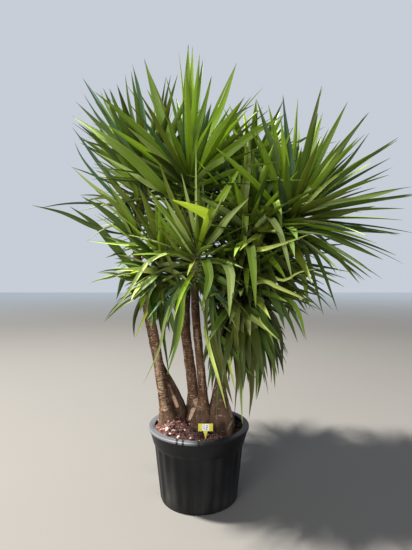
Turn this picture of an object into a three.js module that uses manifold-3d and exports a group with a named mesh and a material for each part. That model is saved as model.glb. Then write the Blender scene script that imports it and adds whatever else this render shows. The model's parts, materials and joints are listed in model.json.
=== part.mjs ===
// Giant yucca in a nursery pot, in millimetres.
// Frame: the origin is the centre of the pot's flat underside, +Z is up and -Y is the plant's front.
import * as THREE from "three";
import Module from "manifold-3d";

const wasm = await Module();
wasm.setup();

// Clearance kept between neighbouring solids.
const GAP = 0.3;

// Pot sizes.
const POT = {
  sides: 72,
  flutes: 24,
  fluteDepth: 4,
  wall: 5,
  floor: 6,
  footRound: 3,
  foot: 243,
  corner: 250,
  cornerHeight: 10,
  fluteFoot: 256,
  fluteLow: 60,
  fluteTop: 288,
  fluteHigh: 345,
  ledge: 297,
  ledgeHeight: 365,
  collar: 319,
  collarHeight: 443,
  rim: 326,
  rimHeight: 463,
  rimRound: 4,
  rimWidth: 26,
  rimEdge: 2,
};

// Soil sizes: a level middle where the stems stand, lower against the wall.
const SOIL = { sides: 48, level: 435, levelRadius: 275, edge: 421, clear: 0.8 };

// Plant label sizes: a flat plate on a pointed stake, stuck in the soil at the front.
const LABEL = {
  x: 43,
  y: -186,
  thick: 2,
  width: 91,
  low: 476,
  high: 521,
  neck: 27,
  ankle: 6,
  ground: 438,
  point: 3,
  depth: 372,
  tilt: -6,
};

// Canes. Each line runs from its foot through its bends to the heart of its head.
// head is the share of the line where the limb ends and the head of leaves begins.
// foot, waist and tip are radii, and flare is how far up the swollen foot reaches.
const CANES = {
  stem_left_front: {
    line: [
      [-200, -8, 435],
      [-246, 5, 720],
      [-284, 20, 960],
      [-330, 36, 1220],
      [-304, 44, 1380],
      [-245, 48, 1503],
    ],
    head: 0.66,
    foot: 64,
    waist: 36,
    tip: 27,
    flare: 100,
  },
  stem_left_back: {
    line: [
      [-138, 108, 435],
      [-150, 110, 540],
      [-205, 114, 677],
      [-264, 119, 790],
      [-300, 125, 905],
      [-372, 135, 1258],
      [-430, 145, 1560],
      [-428, 150, 1790],
      [-369, 150, 1977],
    ],
    head: 0.8,
    foot: 66,
    waist: 34,
    tip: 27,
    flare: 240,
  },
  stem_middle_back: {
    line: [
      [-40, 128, 435],
      [-45, 126, 660],
      [-76, 116, 900],
      [-96, 104, 1080],
      [-92, 90, 1240],
      [-78, 50, 1560],
      [-62, 15, 1780],
      [-59, 0, 1987],
    ],
    head: 0.83,
    foot: 70,
    waist: 38,
    tip: 28,
    flare: 110,
  },
  stem_middle_front: {
    line: [
      [30, -10, 435],
      [27, -10, 640],
      [4, -22, 900],
      [-20, -70, 1180],
      [-22, -135, 1380],
      [-8, -190, 1533],
    ],
    head: 0.76,
    foot: 86,
    waist: 31,
    tip: 25,
    flare: 120,
  },
  stem_right: {
    line: [
      [145, -45, 435],
      [134, -37, 620],
      [142, -26, 820],
      [165, -20, 980],
      [176, -16, 1140],
    ],
    head: 1,
    foot: 92,
    waist: 24,
    tip: 23,
    flare: 230,
  },
  bough_right: {
    line: [
      [176, -16, 1140],
      [236, 4, 1290],
      [362, 12, 1480],
      [478, -16, 1625],
      [566, -50, 1771],
    ],
    head: 0.72,
    foot: 23,
    waist: 23,
    tip: 23,
    flare: 1,
  },
  bough_back_right: {
    line: [
      [172, -18, 1060],
      [196, 50, 1230],
      [290, 190, 1540],
      [352, 300, 1850],
      [380, 350, 2121],
    ],
    head: 0.74,
    foot: 22,
    waist: 22,
    tip: 22,
    flare: 1,
  },
  bough_low_right: {
    line: [
      [160, -20, 930],
      [214, -62, 1040],
      [256, -110, 1190],
      [282, -130, 1371],
    ],
    head: 0.62,
    foot: 20,
    waist: 20,
    tip: 20,
    flare: 1,
  },
  bough_middle_right: {
    line: [
      [166, -18, 1000],
      [232, 64, 1110],
      [356, 128, 1270],
      [440, 150, 1400],
      [486, 152, 1530],
    ],
    head: 0.66,
    foot: 21,
    waist: 21,
    tip: 20,
    flare: 1,
  },
  bough_back: {
    line: [
      [-86, 112, 980],
      [-90, 220, 1130],
      [-112, 380, 1400],
      [-124, 460, 1650],
      [-126, 500, 1850],
    ],
    head: 0.76,
    foot: 24,
    waist: 24,
    tip: 23,
    flare: 1,
  },
  bough_middle: {
    line: [
      [172, -20, 1085],
      [196, -34, 1220],
      [238, -52, 1400],
      [284, -84, 1560],
      [312, -110, 1690],
    ],
    head: 0.7,
    foot: 21,
    waist: 21,
    tip: 20,
    flare: 1,
  },
};

// Heads of leaves. low is how far the oldest leaf leans from the head's own upright, in degrees.
// leaf is the reach of an upright leaf, and flat the share of it that a level leaf has.
// hang is the share of it that a leaf straight down has, and room widens the head's space.
// outline holds the leaves that set the crown's edge: bearing, rise and reach from the heart.
const HEADS = {
  head_top: {
    cane: "stem_middle_back",
    leaf: 860,
    flat: 0.9,
    hang: 0.8,
    count: 64,
    low: 118,
    room: 70,
    outline: [
      [107, 87, 990],
      [-120, 81, 850],
      [61, 79, 940],
      [-170, 70, 870],
      [-19, 68, 830],
      [11, 55, 880],
      [-62, 65, 680],
      [-124, 69, 690],
    ],
  },
  head_left: {
    cane: "stem_left_back",
    leaf: 840,
    flat: 0.78,
    hang: 0.8,
    count: 60,
    low: 132,
    room: 10,
    outline: [
      [-128, 82, 860],
      [-136, 66, 710],
      [168, 61, 990],
      [140, 59, 1020],
      [157, 43, 890],
      [-162, 18, 520],
      [173, -5, 780],
      [-144, -39, 540],
    ],
  },
  head_right: {
    cane: "bough_right",
    leaf: 840,
    flat: 0.94,
    hang: 0.72,
    count: 60,
    low: 122,
    room: 90,
    outline: [
      [14, 74, 930],
      [-83, 74, 740],
      [86, 78, 930],
      [-19, 63, 810],
      [14, 52, 970],
      [-13, 36, 810],
      [7, 16, 910],
      [-7, -6, 780],
      [13, -17, 920],
      [-33, -39, 590],
    ],
  },
  head_back_right: {
    cane: "bough_back_right",
    leaf: 660,
    flat: 1.05,
    hang: 0.9,
    count: 56,
    low: 116,
    room: -60,
    outline: [
      [60, 80, 660],
      [38, 62, 690],
      [-20, 51, 470],
      [116, 65, 790],
    ],
  },
  head_front: {
    cane: "stem_middle_front",
    leaf: 540,
    flat: 1,
    hang: 1,
    count: 48,
    low: 150,
    room: 80,
    outline: [
      [-160, 52, 470],
      [-137, 50, 460],
      [9, 50, 480],
      [-35, 59, 510],
    ],
  },
  head_low_left: {
    cane: "stem_left_front",
    leaf: 580,
    flat: 0.95,
    hang: 1,
    count: 54,
    low: 145,
    room: 60,
    outline: [
      [-159, -8, 430],
      [169, -14, 540],
      [-165, -45, 530],
      [-126, -30, 430],
      [154, -66, 560],
      [-76, -66, 750],
    ],
  },
  head_low_right: {
    cane: "bough_low_right",
    leaf: 560,
    flat: 0.9,
    hang: 1.4,
    count: 60,
    low: 172,
    room: 20,
    outline: [
      [-73, -37, 520],
      [-100, -83, 850],
      [63, -82, 770],
      [-49, -73, 670],
      [-125, -67, 800],
    ],
  },
  head_middle_right: {
    cane: "bough_middle_right",
    leaf: 560,
    flat: 1.02,
    hang: 1,
    count: 52,
    low: 150,
    room: 10,
    outline: [
      [8, -37, 580],
      [14, -12, 620],
      [-12, -66, 590],
      [-30, -48, 400],
    ],
  },
  head_back: {
    cane: "bough_back",
    leaf: 800,
    flat: 0.9,
    hang: 0.8,
    count: 60,
    low: 124,
    room: -20,
    outline: [],
  },
  head_middle: {
    cane: "bough_middle",
    leaf: 640,
    flat: 0.8,
    hang: 0.9,
    count: 50,
    low: 135,
    room: 20,
    outline: [
      [0, 67, 730],
      [-100, 84, 620],
      [160, 66, 500],
    ],
  },
};

// The leaf rule, shared by all heads. stand turns a head's upright from its cane towards the vertical.
// sag is the bow of an upright and of a hanging leaf, as a share of the reach. knee is where a leaf folds.
const LEAF = {
  width: 86,
  keel: 0.0112,
  youngest: 0.8,
  growth: 1.6,
  shortest: 0.82,
  shares: [0, 0.3, 0.66],
  widths: [0.24, 0.66, 1],
  topLean: 9,
  leanPower: 0.8,
  leanSpread: 7,
  stand: 0.6,
  turn: 137.508,
  turnSpread: 9,
  roll: 24,
  sag: [0.02, 0.12],
  sagSpread: [0.6, 1.4],
  straight: 0.09,
  straightShares: [0, 0.52],
  apart: 14.2,
  tries: [1, 0.82, 0.66, 0.5],
  foldChance: 0.12,
  foldBelow: 45,
  knee: [0.45, 0.65],
  kneeLift: 0.05,
  kneeLean: [0.1, 0.4],
  kneeHalf: 0.03,
  shoulder: 0.25,
  lowest: 492,
};

// Where leaves sit on a core, counted from its base at 0 to its heart at 1, and how far it goes on above.
const SEAT = { low: 0.24, high: 1.5, reach: 110, tip: 105 };

const UP = new THREE.Vector3(0, 0, 1);

// A repeatable stream of numbers from 0 to 1.
function seeded(seed) {
  let state = seed >>> 0;
  return () => {
    state = (Math.imul(state, 1664525) + 1013904223) >>> 0;
    return state / 4294967296;
  };
}

const radians = THREE.MathUtils.degToRad;
const degrees = THREE.MathUtils.radToDeg;
const mix = THREE.MathUtils.lerp;
const within = (range, share) => mix(range[0], range[1], share);

// A closed solid from its corners and faces.
function solidOf(corners, faces) {
  return new wasm.Manifold(
    new wasm.Mesh({
      numProp: 3,
      vertProperties: new Float32Array(corners.flat()),
      triVerts: new Uint32Array(faces.flat()),
    }),
  );
}

// A skin over rings of equal count that turn left about the way of travel, closed by a point at each end.
function skinned(first, rings, last) {
  const corners = [first];
  rings.forEach((ring) => corners.push(...ring));
  corners.push(last);
  const count = rings[0].length;
  const end = corners.length - 1;
  const faces = [];
  for (let j = 0; j < count; j++) {
    const next = (j + 1) % count;
    faces.push([0, 1 + next, 1 + j]);
    for (let k = 0; k + 1 < rings.length; k++) {
      const low = 1 + k * count;
      const high = low + count;
      faces.push([low + j, low + next, high + next]);
      faces.push([low + j, high + next, high + j]);
    }
    const rim = end - count;
    faces.push([rim + j, rim + next, end]);
  }
  return solidOf(corners, faces);
}

// A point on the smooth line through the given points, at share s of its spans.
function onLine(line, s) {
  const spans = line.length - 1;
  const i = Math.min(spans - 1, Math.floor(s * spans));
  const t = s * spans - i;
  const at = (k) => new THREE.Vector3(...line[k]);
  const before = i > 0 ? at(i - 1) : at(0).multiplyScalar(2).sub(at(1));
  const after =
    i + 2 <= spans ? at(i + 2) : at(spans).multiplyScalar(2).sub(at(spans - 1));
  const one = at(i);
  const two = at(i + 1);
  const weigh = (a, b, c, d) =>
    0.5 *
    (2 * b +
      (c - a) * t +
      (2 * a - 5 * b + 4 * c - d) * t * t +
      (3 * b - a - 3 * c + d) * t * t * t);
  return new THREE.Vector3(
    weigh(before.x, one.x, two.x, after.x),
    weigh(before.y, one.y, two.y, after.y),
    weigh(before.z, one.z, two.z, after.z),
  );
}

const LINE_STEP = 0.002;

function alongLine(line, s) {
  const ahead = onLine(line, Math.min(1, s + LINE_STEP));
  return ahead.sub(onLine(line, Math.max(0, s - LINE_STEP))).normalize();
}

// How swollen a cane is at height h over its foot, from 1 at the foot to 0 up the cane.
function swelling(cane, h) {
  return Math.exp(-Math.pow(h / cane.flare, 2));
}

// The radius of a cane at share s of its line and height h over its foot.
function caneRadius(cane, s, h) {
  const share = Math.min(1, s / cane.head);
  return mix(cane.waist, cane.tip, share) + (cane.foot - cane.waist) * swelling(cane, h);
}

// One ring of points round a place on a cane.
function ringRound(centre, way, radius, sides, lobes, phase) {
  const across = new THREE.Vector3(0, 1, 0).cross(way).normalize();
  const over = way.clone().cross(across);
  return Array.from({ length: sides }, (_, j) => {
    const turn = (2 * Math.PI * j) / sides;
    const r = radius * (1 + lobes * Math.cos(3 * turn + phase));
    return centre
      .clone()
      .addScaledVector(across, r * Math.cos(turn))
      .addScaledVector(over, r * Math.sin(turn))
      .toArray();
  });
}

// How the rings of a limb bunch towards its swollen foot.
const RING_CROWD = 1.6;
const FOOT_LOBES = 0.07;
const STEM = { sides: 14, steps: 11 };
const BOUGH = { sides: 10, steps: 6 };

// The solid of a limb from its foot to where its head begins, swelled by spare.
function limbSolid(cane, fromSoil, spare) {
  const { sides, steps } = fromSoil ? STEM : BOUGH;
  const rings = [];
  const lift = fromSoil
    ? new THREE.Vector3(0, 0, GAP - spare)
    : alongLine(cane.line, 0).multiplyScalar(-spare);
  for (let k = 0; k <= steps; k++) {
    const share = Math.pow(k / steps, fromSoil ? RING_CROWD : 1);
    const s = share * cane.head;
    const centre = onLine(cane.line, s);
    const h = centre.z - cane.line[0][2];
    const way = alongLine(cane.line, s);
    if (fromSoil) way.lerp(UP, swelling(cane, h)).normalize();
    const lobes = fromSoil ? FOOT_LOBES * swelling(cane, h) : 0;
    if (k === 0) centre.add(lift);
    if (k === steps) centre.addScaledVector(way, spare);
    rings.push(
      ringRound(centre, way, caneRadius(cane, s, h) + spare, sides, lobes, cane.foot),
    );
  }
  const foot = onLine(cane.line, 0).add(lift);
  const tip = onLine(cane.line, cane.head);
  tip.addScaledVector(alongLine(cane.line, cane.head), spare);
  return skinned(foot.toArray(), rings, tip.toArray());
}

// Distance from a point to a cane's surface, below its head.
const LIMB_PROBES = 24;
const limbProbes = Object.values(CANES).map((cane) =>
  Array.from({ length: LIMB_PROBES + 1 }, (_, k) => {
    const s = (k / LIMB_PROBES) * cane.head;
    const at = onLine(cane.line, s);
    return { at, radius: caneRadius(cane, s, at.z - cane.line[0][2]) };
  }),
);

function clearOfLimbs(point) {
  const nearest = new THREE.Vector3();
  let least = Infinity;
  for (const probes of limbProbes)
    for (let k = 0; k + 1 < probes.length; k++) {
      const span = new THREE.Line3(probes[k].at, probes[k + 1].at);
      span.closestPointToPoint(point, true, nearest);
      const away = nearest.distanceTo(point) - probes[k].radius;
      least = Math.min(least, away);
    }
  return least;
}

// A head's core: where it starts, its heart, its growing point and its way.
function coreOf(head) {
  const cane = CANES[head.cane];
  const heart = onLine(cane.line, 1);
  const way = alongLine(cane.line, 1);
  return {
    cane,
    heart,
    way,
    base: onLine(cane.line, cane.head),
    point: heart.clone().addScaledVector(way, SEAT.tip),
  };
}

const cores = Object.fromEntries(
  Object.entries(HEADS).map(([name, head]) => [name, coreOf(head)]),
);

const CORE_SIDES = 8;
const CORE_SWELL = 1.12;

function coreSolid(core) {
  const { cane, way, heart, point } = core;
  const start = alongLine(cane.line, cane.head);
  const rings = [];
  const low = core.base.clone().addScaledVector(start, GAP);
  rings.push(ringRound(low, start, cane.tip, CORE_SIDES, 0, 0));
  const middle = onLine(cane.line, mix(cane.head, 1, 0.5));
  const swollen = cane.tip * CORE_SWELL;
  const between = alongLine(cane.line, mix(cane.head, 1, 0.5));
  rings.push(ringRound(middle, between, swollen, CORE_SIDES, 0, 0));
  rings.push(ringRound(heart, way, cane.tip, CORE_SIDES, 0, 0));
  return skinned(low.toArray(), rings, point.toArray());
}

// How far a point is from a head's core line, less the room that the head is given.
function spaceOf(name, point) {
  const { base, heart, point: tip } = cores[name];
  const near = new THREE.Vector3();
  let least = Infinity;
  for (const [a, b] of [
    [base, heart],
    [heart, tip],
  ]) {
    new THREE.Line3(a, b).closestPointToPoint(point, true, near);
    least = Math.min(least, near.distanceTo(point));
  }
  return least - HEADS[name].room;
}

// The middle line of a leaf: an arc from root to tip, or one that folds and hangs from its knee.
function leafLine(root, tip, lift, fold) {
  if (!fold)
    return (t) => {
      const bow = root.clone().add(tip).multiplyScalar(0.5).add(lift);
      return root
        .clone()
        .multiplyScalar((1 - t) * (1 - t))
        .addScaledVector(bow, 2 * t * (1 - t))
        .addScaledVector(tip, t * t);
    };
  const whole = root.distanceTo(tip);
  const knee = root.clone().lerp(tip, fold.at);
  knee.addScaledVector(UP, whole * LEAF.kneeLift);
  const out = new THREE.Vector3(tip.x - root.x, tip.y - root.y, 0).normalize();
  const end = knee
    .clone()
    .addScaledVector(out, whole * (1 - fold.at) * fold.lean)
    .addScaledVector(UP, -whole * (1 - fold.at));
  return (t) =>
    t < fold.at
      ? root.clone().lerp(knee, t / fold.at)
      : knee.clone().lerp(end, (t - fold.at) / (1 - fold.at));
}

// A place on a core's middle line.
function onCore({ cane, heart, way }, seat) {
  if (seat < 1) return onLine(cane.line, mix(cane.head, 1, seat));
  return heart.clone().addScaledVector(way, (seat - 1) * SEAT.reach);
}

// The random draws of one leaf.
function draws(next) {
  return { sag: next(), roll: next(), chance: next(), where: next(), lean: next() };
}

// Plans one leaf of a head from the bearing, rise and reach of its tip from the heart.
function plannedLeaf(core, bearing, rise, reach, random, mayFold) {
  const b = radians(bearing);
  const e = radians(rise);
  const out = new THREE.Vector3(Math.cos(b), Math.sin(b), 0);
  const towards = out
    .clone()
    .multiplyScalar(Math.cos(e))
    .addScaledVector(UP, Math.sin(e));
  const height = (1 + towards.dot(core.way)) / 2;
  const root = onCore(core, mix(SEAT.low, SEAT.high, height));
  const tip = core.heart.clone().addScaledVector(towards, reach);
  const sag = within(LEAF.sag, 1 - height) * within(LEAF.sagSpread, random.sag);
  const lift = out
    .clone()
    .multiplyScalar(-Math.sin(e))
    .addScaledVector(UP, Math.cos(e))
    .multiplyScalar(2 * sag * reach);
  const roll = radians(mix(-LEAF.roll, LEAF.roll, random.roll));
  const where = within(LEAF.knee, random.where);
  const lean = within(LEAF.kneeLean, random.lean);
  const folds = mayFold && rise < LEAF.foldBelow && random.chance < LEAF.foldChance;
  const leaf = {
    line: leafLine(root, tip, lift, folds ? { at: where, lean } : null),
    side: new THREE.Vector3(-Math.sin(b), Math.cos(b), 0),
    roll,
    length: root.distanceTo(tip),
    towards,
  };
  const knee = [0, LEAF.shoulder, where - LEAF.kneeHalf, where + LEAF.kneeHalf];
  const plain = sag < LEAF.straight ? LEAF.straightShares : LEAF.shares;
  const shares = folds ? knee : plain;
  leaf.rings = shares.map((t) => leafCorners(leaf, t));
  leaf.point = leaf.line(1);
  return leaf;
}

function leafWidth(t) {
  const shares = LEAF.shares;
  for (let k = 0; k + 1 < shares.length; k++)
    if (t <= shares[k + 1]) {
      const part = (t - shares[k]) / (shares[k + 1] - shares[k]);
      return LEAF.width * mix(LEAF.widths[k], LEAF.widths[k + 1], part);
    }
  const last = shares[shares.length - 1];
  const left = (1 - t) / (1 - last);
  return LEAF.width * LEAF.widths[shares.length - 1] * left;
}

const WAY_STEP = 0.02;

// The three corners of a leaf at share t: two edges and a keel below its middle.
function leafCorners(leaf, t) {
  const at = leaf.line(t);
  const way = leaf
    .line(Math.min(1, t + WAY_STEP))
    .sub(leaf.line(Math.max(0, t - WAY_STEP)))
    .normalize();
  const side = leaf.side.clone().applyAxisAngle(way, leaf.roll);
  side.addScaledVector(way, -side.dot(way)).normalize();
  const over = way.clone().cross(side);
  const half = leafWidth(t) / 2;
  return [
    at.clone().addScaledVector(side, half),
    at.clone().addScaledVector(side, -half),
    at.clone().addScaledVector(over, -LEAF.keel * leaf.length),
  ];
}

// A leaf is a three-sided blade from its root to its point.
function leafSolid(leaf) {
  const { rings, point } = leaf;
  const corners = [...rings.flat(), point].map((corner) => corner.toArray());
  const last = corners.length - 1;
  const faces = [[0, 2, 1]];
  for (let j = 0; j < 3; j++) {
    const next = (j + 1) % 3;
    for (let k = 0; k + 1 < rings.length; k++) {
      const low = 3 * k;
      faces.push([low + j, low + next, low + 3 + next]);
      faces.push([low + j, low + 3 + next, low + 3 + j]);
    }
    faces.push([last - 3 + j, last - 3 + next, last]);
  }
  return solidOf(corners, faces);
}

// Whether a leaf stays in its head's space and off the limbs, the pot and the soil.
const STEPS_A_SPAN = 5;
const LEAF_CLEAR = 7;

function fits(name, leaf) {
  const rings = [...leaf.rings, [leaf.point, leaf.point, leaf.point]];
  for (let k = 0; k + 1 < rings.length; k++)
    for (let j = 1; j <= STEPS_A_SPAN; j++)
      for (let c = 0; c < 3; c++) {
        const at = rings[k][c].clone().lerp(rings[k + 1][c], j / STEPS_A_SPAN);
        if (at.z < LEAF.lowest || clearOfLimbs(at) < LEAF_CLEAR) return false;
        const own = spaceOf(name, at) + LEAF_CLEAR;
        for (const other of Object.keys(HEADS))
          if (other !== name && spaceOf(other, at) < own) return false;
      }
  return true;
}

// The reach of a leaf that rises by the given degrees.
function reachOf(head, rise) {
  const ends = rise > 0 ? [head.flat, 1] : [head.flat, head.hang];
  return head.leaf * within(ends, Math.abs(rise) / 90);
}

// The leaves of one head: first those that set the outline, then the spiral that fills it.
function leavesOf(name, seed) {
  const head = HEADS[name];
  const core = cores[name];
  const next = seeded(seed);
  const kept = [];
  for (const [bearing, rise, reach] of head.outline) {
    const leaf = plannedLeaf(core, bearing, rise, reach, draws(next), false);
    if (fits(name, leaf)) kept.push(leaf);
  }
  const upright = core.way.clone().lerp(UP, LEAF.stand).normalize();
  const turned = new THREE.Quaternion().setFromUnitVectors(UP, upright);
  const near = Math.cos(radians(LEAF.apart));
  for (let i = 0; i < head.count; i++) {
    const age = (i + 0.5) / head.count;
    const aged = mix(LEAF.topLean, head.low, Math.pow(age, LEAF.leanPower));
    const lean = radians(aged + mix(-LEAF.leanSpread, LEAF.leanSpread, next()));
    const spin = radians(LEAF.turn * i + mix(-LEAF.turnSpread, LEAF.turnSpread, next()));
    const towards = new THREE.Vector3(
      Math.sin(lean) * Math.cos(spin),
      Math.sin(lean) * Math.sin(spin),
      Math.cos(lean),
    ).applyQuaternion(turned);
    const bearing = degrees(Math.atan2(towards.y, towards.x));
    const rise = degrees(Math.asin(towards.z));
    const young = Math.min(1, LEAF.youngest + LEAF.growth * age);
    const reach = reachOf(head, rise) * young * mix(LEAF.shortest, 1, next());
    const random = draws(next);
    if (kept.some((other) => other.towards.dot(towards) > near)) continue;
    const leaf = LEAF.tries
      .map((share) => plannedLeaf(core, bearing, rise, share * reach, random, true))
      .find((one) => fits(name, one));
    if (leaf) kept.push(leaf);
  }
  return kept;
}

// Joins solids and keeps the one outer body, so that sealed hollows are filled.
function fused(solids) {
  const joined = solids.reduce((all, one) => all.add(one));
  const bodies = joined.decompose();
  return bodies.reduce((a, b) => (a.volume() > b.volume() ? a : b));
}

const HEAD_SEED = 4100;
const SEED_STEP = 17;

function headSolid(name, order) {
  const leaves = leavesOf(name, HEAD_SEED + SEED_STEP * order);
  return fused([coreSolid(cores[name]), ...leaves.map(leafSolid)]);
}

// A turned solid whose profile starts and ends on the axis. Points marked fluted follow the flutes.
function turnedSolid(profile, sides) {
  const inner = profile.slice(1, -1);
  const rings = inner.map(({ r, z, fluted }) =>
    Array.from({ length: sides }, (_, j) => {
      const turn = (2 * Math.PI * j) / sides;
      const groove = (1 - Math.cos(POT.flutes * turn)) / 2;
      const radius = fluted ? r - POT.fluteDepth * groove : r;
      return [radius * Math.cos(turn), radius * Math.sin(turn), z];
    }),
  );
  const first = [0, 0, profile[0].z];
  const last = [0, 0, profile[profile.length - 1].z];
  return skinned(first, rings, last);
}

// Pot: up the outside, over the bead and the flat rim, and down the inside of the wall.
function potSolid() {
  const wall = POT.wall;
  const mouth = POT.rim - POT.rimWidth;
  const p = (r, z, fluted) => ({ r, z, fluted });
  return turnedSolid(
    [
      p(0, 0),
      p(POT.foot, 0),
      p(POT.corner, POT.cornerHeight),
      p(POT.fluteFoot, POT.fluteLow, true),
      p(POT.fluteTop, POT.fluteHigh, true),
      p(POT.ledge, POT.ledgeHeight),
      p(POT.collar, POT.collarHeight),
      p(POT.rim, POT.collarHeight + POT.rimRound),
      p(POT.rim, POT.rimHeight - POT.rimRound),
      p(POT.rim - POT.rimRound, POT.rimHeight),
      p(mouth + POT.rimEdge, POT.rimHeight),
      p(mouth, POT.rimHeight - POT.rimEdge),
      p(mouth, POT.rimHeight - wall),
      p(POT.collar - wall - POT.rimEdge, POT.rimHeight - 2 * wall),
      p(POT.collar - wall, POT.collarHeight),
      p(POT.ledge - wall, POT.ledgeHeight),
      p(POT.fluteTop - wall, POT.fluteHigh, true),
      p(POT.fluteFoot - wall, POT.fluteLow, true),
      p(POT.foot - wall, POT.floor + POT.footRound),
      p(0, POT.floor),
    ],
    POT.sides,
  );
}

// Soil: fills the pot just clear of its inside.
function soilSolid(pocket) {
  const inset = POT.wall + SOIL.clear;
  const fluted = inset + POT.fluteDepth;
  const height = POT.collarHeight - POT.ledgeHeight;
  const edge = mix(POT.ledge, POT.collar, (SOIL.edge - POT.ledgeHeight) / height);
  const p = (r, z) => ({ r, z });
  const body = turnedSolid(
    [
      p(0, POT.floor + GAP),
      p(POT.foot - inset - POT.footRound, POT.floor + POT.footRound + GAP),
      p(POT.fluteFoot - fluted, POT.fluteLow),
      p(POT.fluteTop - fluted, POT.fluteHigh),
      p(POT.ledge - inset, POT.ledgeHeight),
      p(edge - inset, SOIL.edge),
      p(SOIL.levelRadius, SOIL.level),
      p(0, SOIL.level),
    ],
    SOIL.sides,
  );
  return body.subtract(pocket);
}

// Label: the outline of plate and stake, given its thickness, leaning back a little.
function labelSolid(spare) {
  const half = LABEL.width / 2 + spare;
  const neck = LABEL.neck / 2 + spare;
  const ankle = LABEL.ankle / 2 + spare;
  const point = LABEL.point / 2 + spare;
  const outline = [
    [-point, LABEL.depth - spare],
    [point, LABEL.depth - spare],
    [ankle, LABEL.ground],
    [neck, LABEL.low - spare],
    [half, LABEL.low - spare],
    [half, LABEL.high + spare],
    [-half, LABEL.high + spare],
    [-half, LABEL.low - spare],
    [-neck, LABEL.low - spare],
    [-ankle, LABEL.ground],
  ];
  const shape = new THREE.Shape(
    outline.map(([x, z]) => new THREE.Vector2(x, z - LABEL.depth)),
  );
  const depth = LABEL.thick + 2 * spare;
  const plate = new THREE.ExtrudeGeometry(shape, { depth, bevelEnabled: false });
  plate.translate(0, 0, -depth / 2);
  plate.rotateX(Math.PI / 2 + radians(LABEL.tilt));
  plate.translate(LABEL.x, LABEL.y, LABEL.depth);
  return fromGeometry(plate);
}

// Corners that agree to a thousandth of a millimetre count as one.
const CORNER_GRAIN = 0.001;

// A solid from a three.js geometry, with equal corners joined.
function fromGeometry(geometry) {
  const flat = geometry.index ? geometry.toNonIndexed() : geometry;
  const place = flat.getAttribute("position");
  const known = new Map();
  const corners = [];
  const order = [];
  for (let i = 0; i < place.count; i++) {
    const corner = [place.getX(i), place.getY(i), place.getZ(i)];
    const key = corner.map((v) => Math.round(v / CORNER_GRAIN)).join(" ");
    if (!known.has(key)) known.set(key, corners.push(corner) - 1);
    order.push(known.get(key));
  }
  const faces = [];
  for (let i = 0; i < order.length; i += 3) faces.push(order.slice(i, i + 3));
  return solidOf(corners, faces);
}

const COLOURS = {
  pot: 0x1b1c1e,
  soil: 0x7d5646,
  label: 0xe0b93a,
  stem: 0x8a6d4d,
  bough: 0x93855a,
  head: 0x5c7a2c,
};

const plant = new THREE.Group();
plant.name = "giant_yucca";

function place(name, solid, colour) {
  const { vertProperties, triVerts, numProp } = solid.getMesh();
  const count = vertProperties.length / numProp;
  const points = new Float32Array(3 * count);
  for (let i = 0; i < count; i++)
    points.set(vertProperties.subarray(i * numProp, i * numProp + 3), 3 * i);
  const geometry = new THREE.BufferGeometry();
  geometry.setAttribute("position", new THREE.BufferAttribute(points, 3));
  geometry.setIndex(new THREE.BufferAttribute(triVerts, 1));
  geometry.computeVertexNormals();
  const material = new THREE.MeshStandardMaterial({ color: colour });
  const mesh = new THREE.Mesh(geometry, material);
  mesh.name = name;
  plant.add(mesh);
}

place("pot", potSolid(), COLOURS.pot);
place("soil", soilSolid(labelSolid(GAP)), COLOURS.soil);
place("plant_label", labelSolid(0), COLOURS.label);

// Limbs. Where two swollen feet press together, or a bough leaves its cane, the later one is cut back.
const CUT_BY = {
  stem_left_back: ["stem_left_front"],
  stem_middle_back: ["stem_left_back"],
  stem_middle_front: ["stem_right", "stem_middle_back"],
  bough_right: ["stem_right"],
  bough_back_right: ["stem_right", "bough_right"],
  bough_low_right: ["stem_right", "bough_right"],
  bough_middle_right: ["stem_right", "bough_right", "bough_back_right", "bough_low_right"],
  bough_back: ["stem_middle_back"],
  bough_middle: ["stem_right", "bough_right", "bough_back_right"],
};

for (const [name, cane] of Object.entries(CANES)) {
  const fromSoil = name.startsWith("stem");
  const cutters = (CUT_BY[name] ?? []).map((other) =>
    limbSolid(CANES[other], other.startsWith("stem"), GAP),
  );
  const whole = limbSolid(cane, fromSoil, 0);
  const cut = cutters.reduce((left, other) => left.subtract(other), whole);
  place(name, fused([cut]), fromSoil ? COLOURS.stem : COLOURS.bough);
}

Object.keys(HEADS).forEach((name, order) =>
  place(name, headSolid(name, order), COLOURS.head),
);

export default plant;
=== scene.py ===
# %% [markdown]
# # A giant yucca in its nursery pot
#
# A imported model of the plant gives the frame: its pot, canes and heads of leaves as plain solids, in metres.
# This lesson puts the looks round that frame. Each cell makes one piece or one finish, from the ground up:
# the camera and light, the pot, the soil, the label, the canes with their bark, and last the leaves.

# %% Tools and frame
import json
import math

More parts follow.
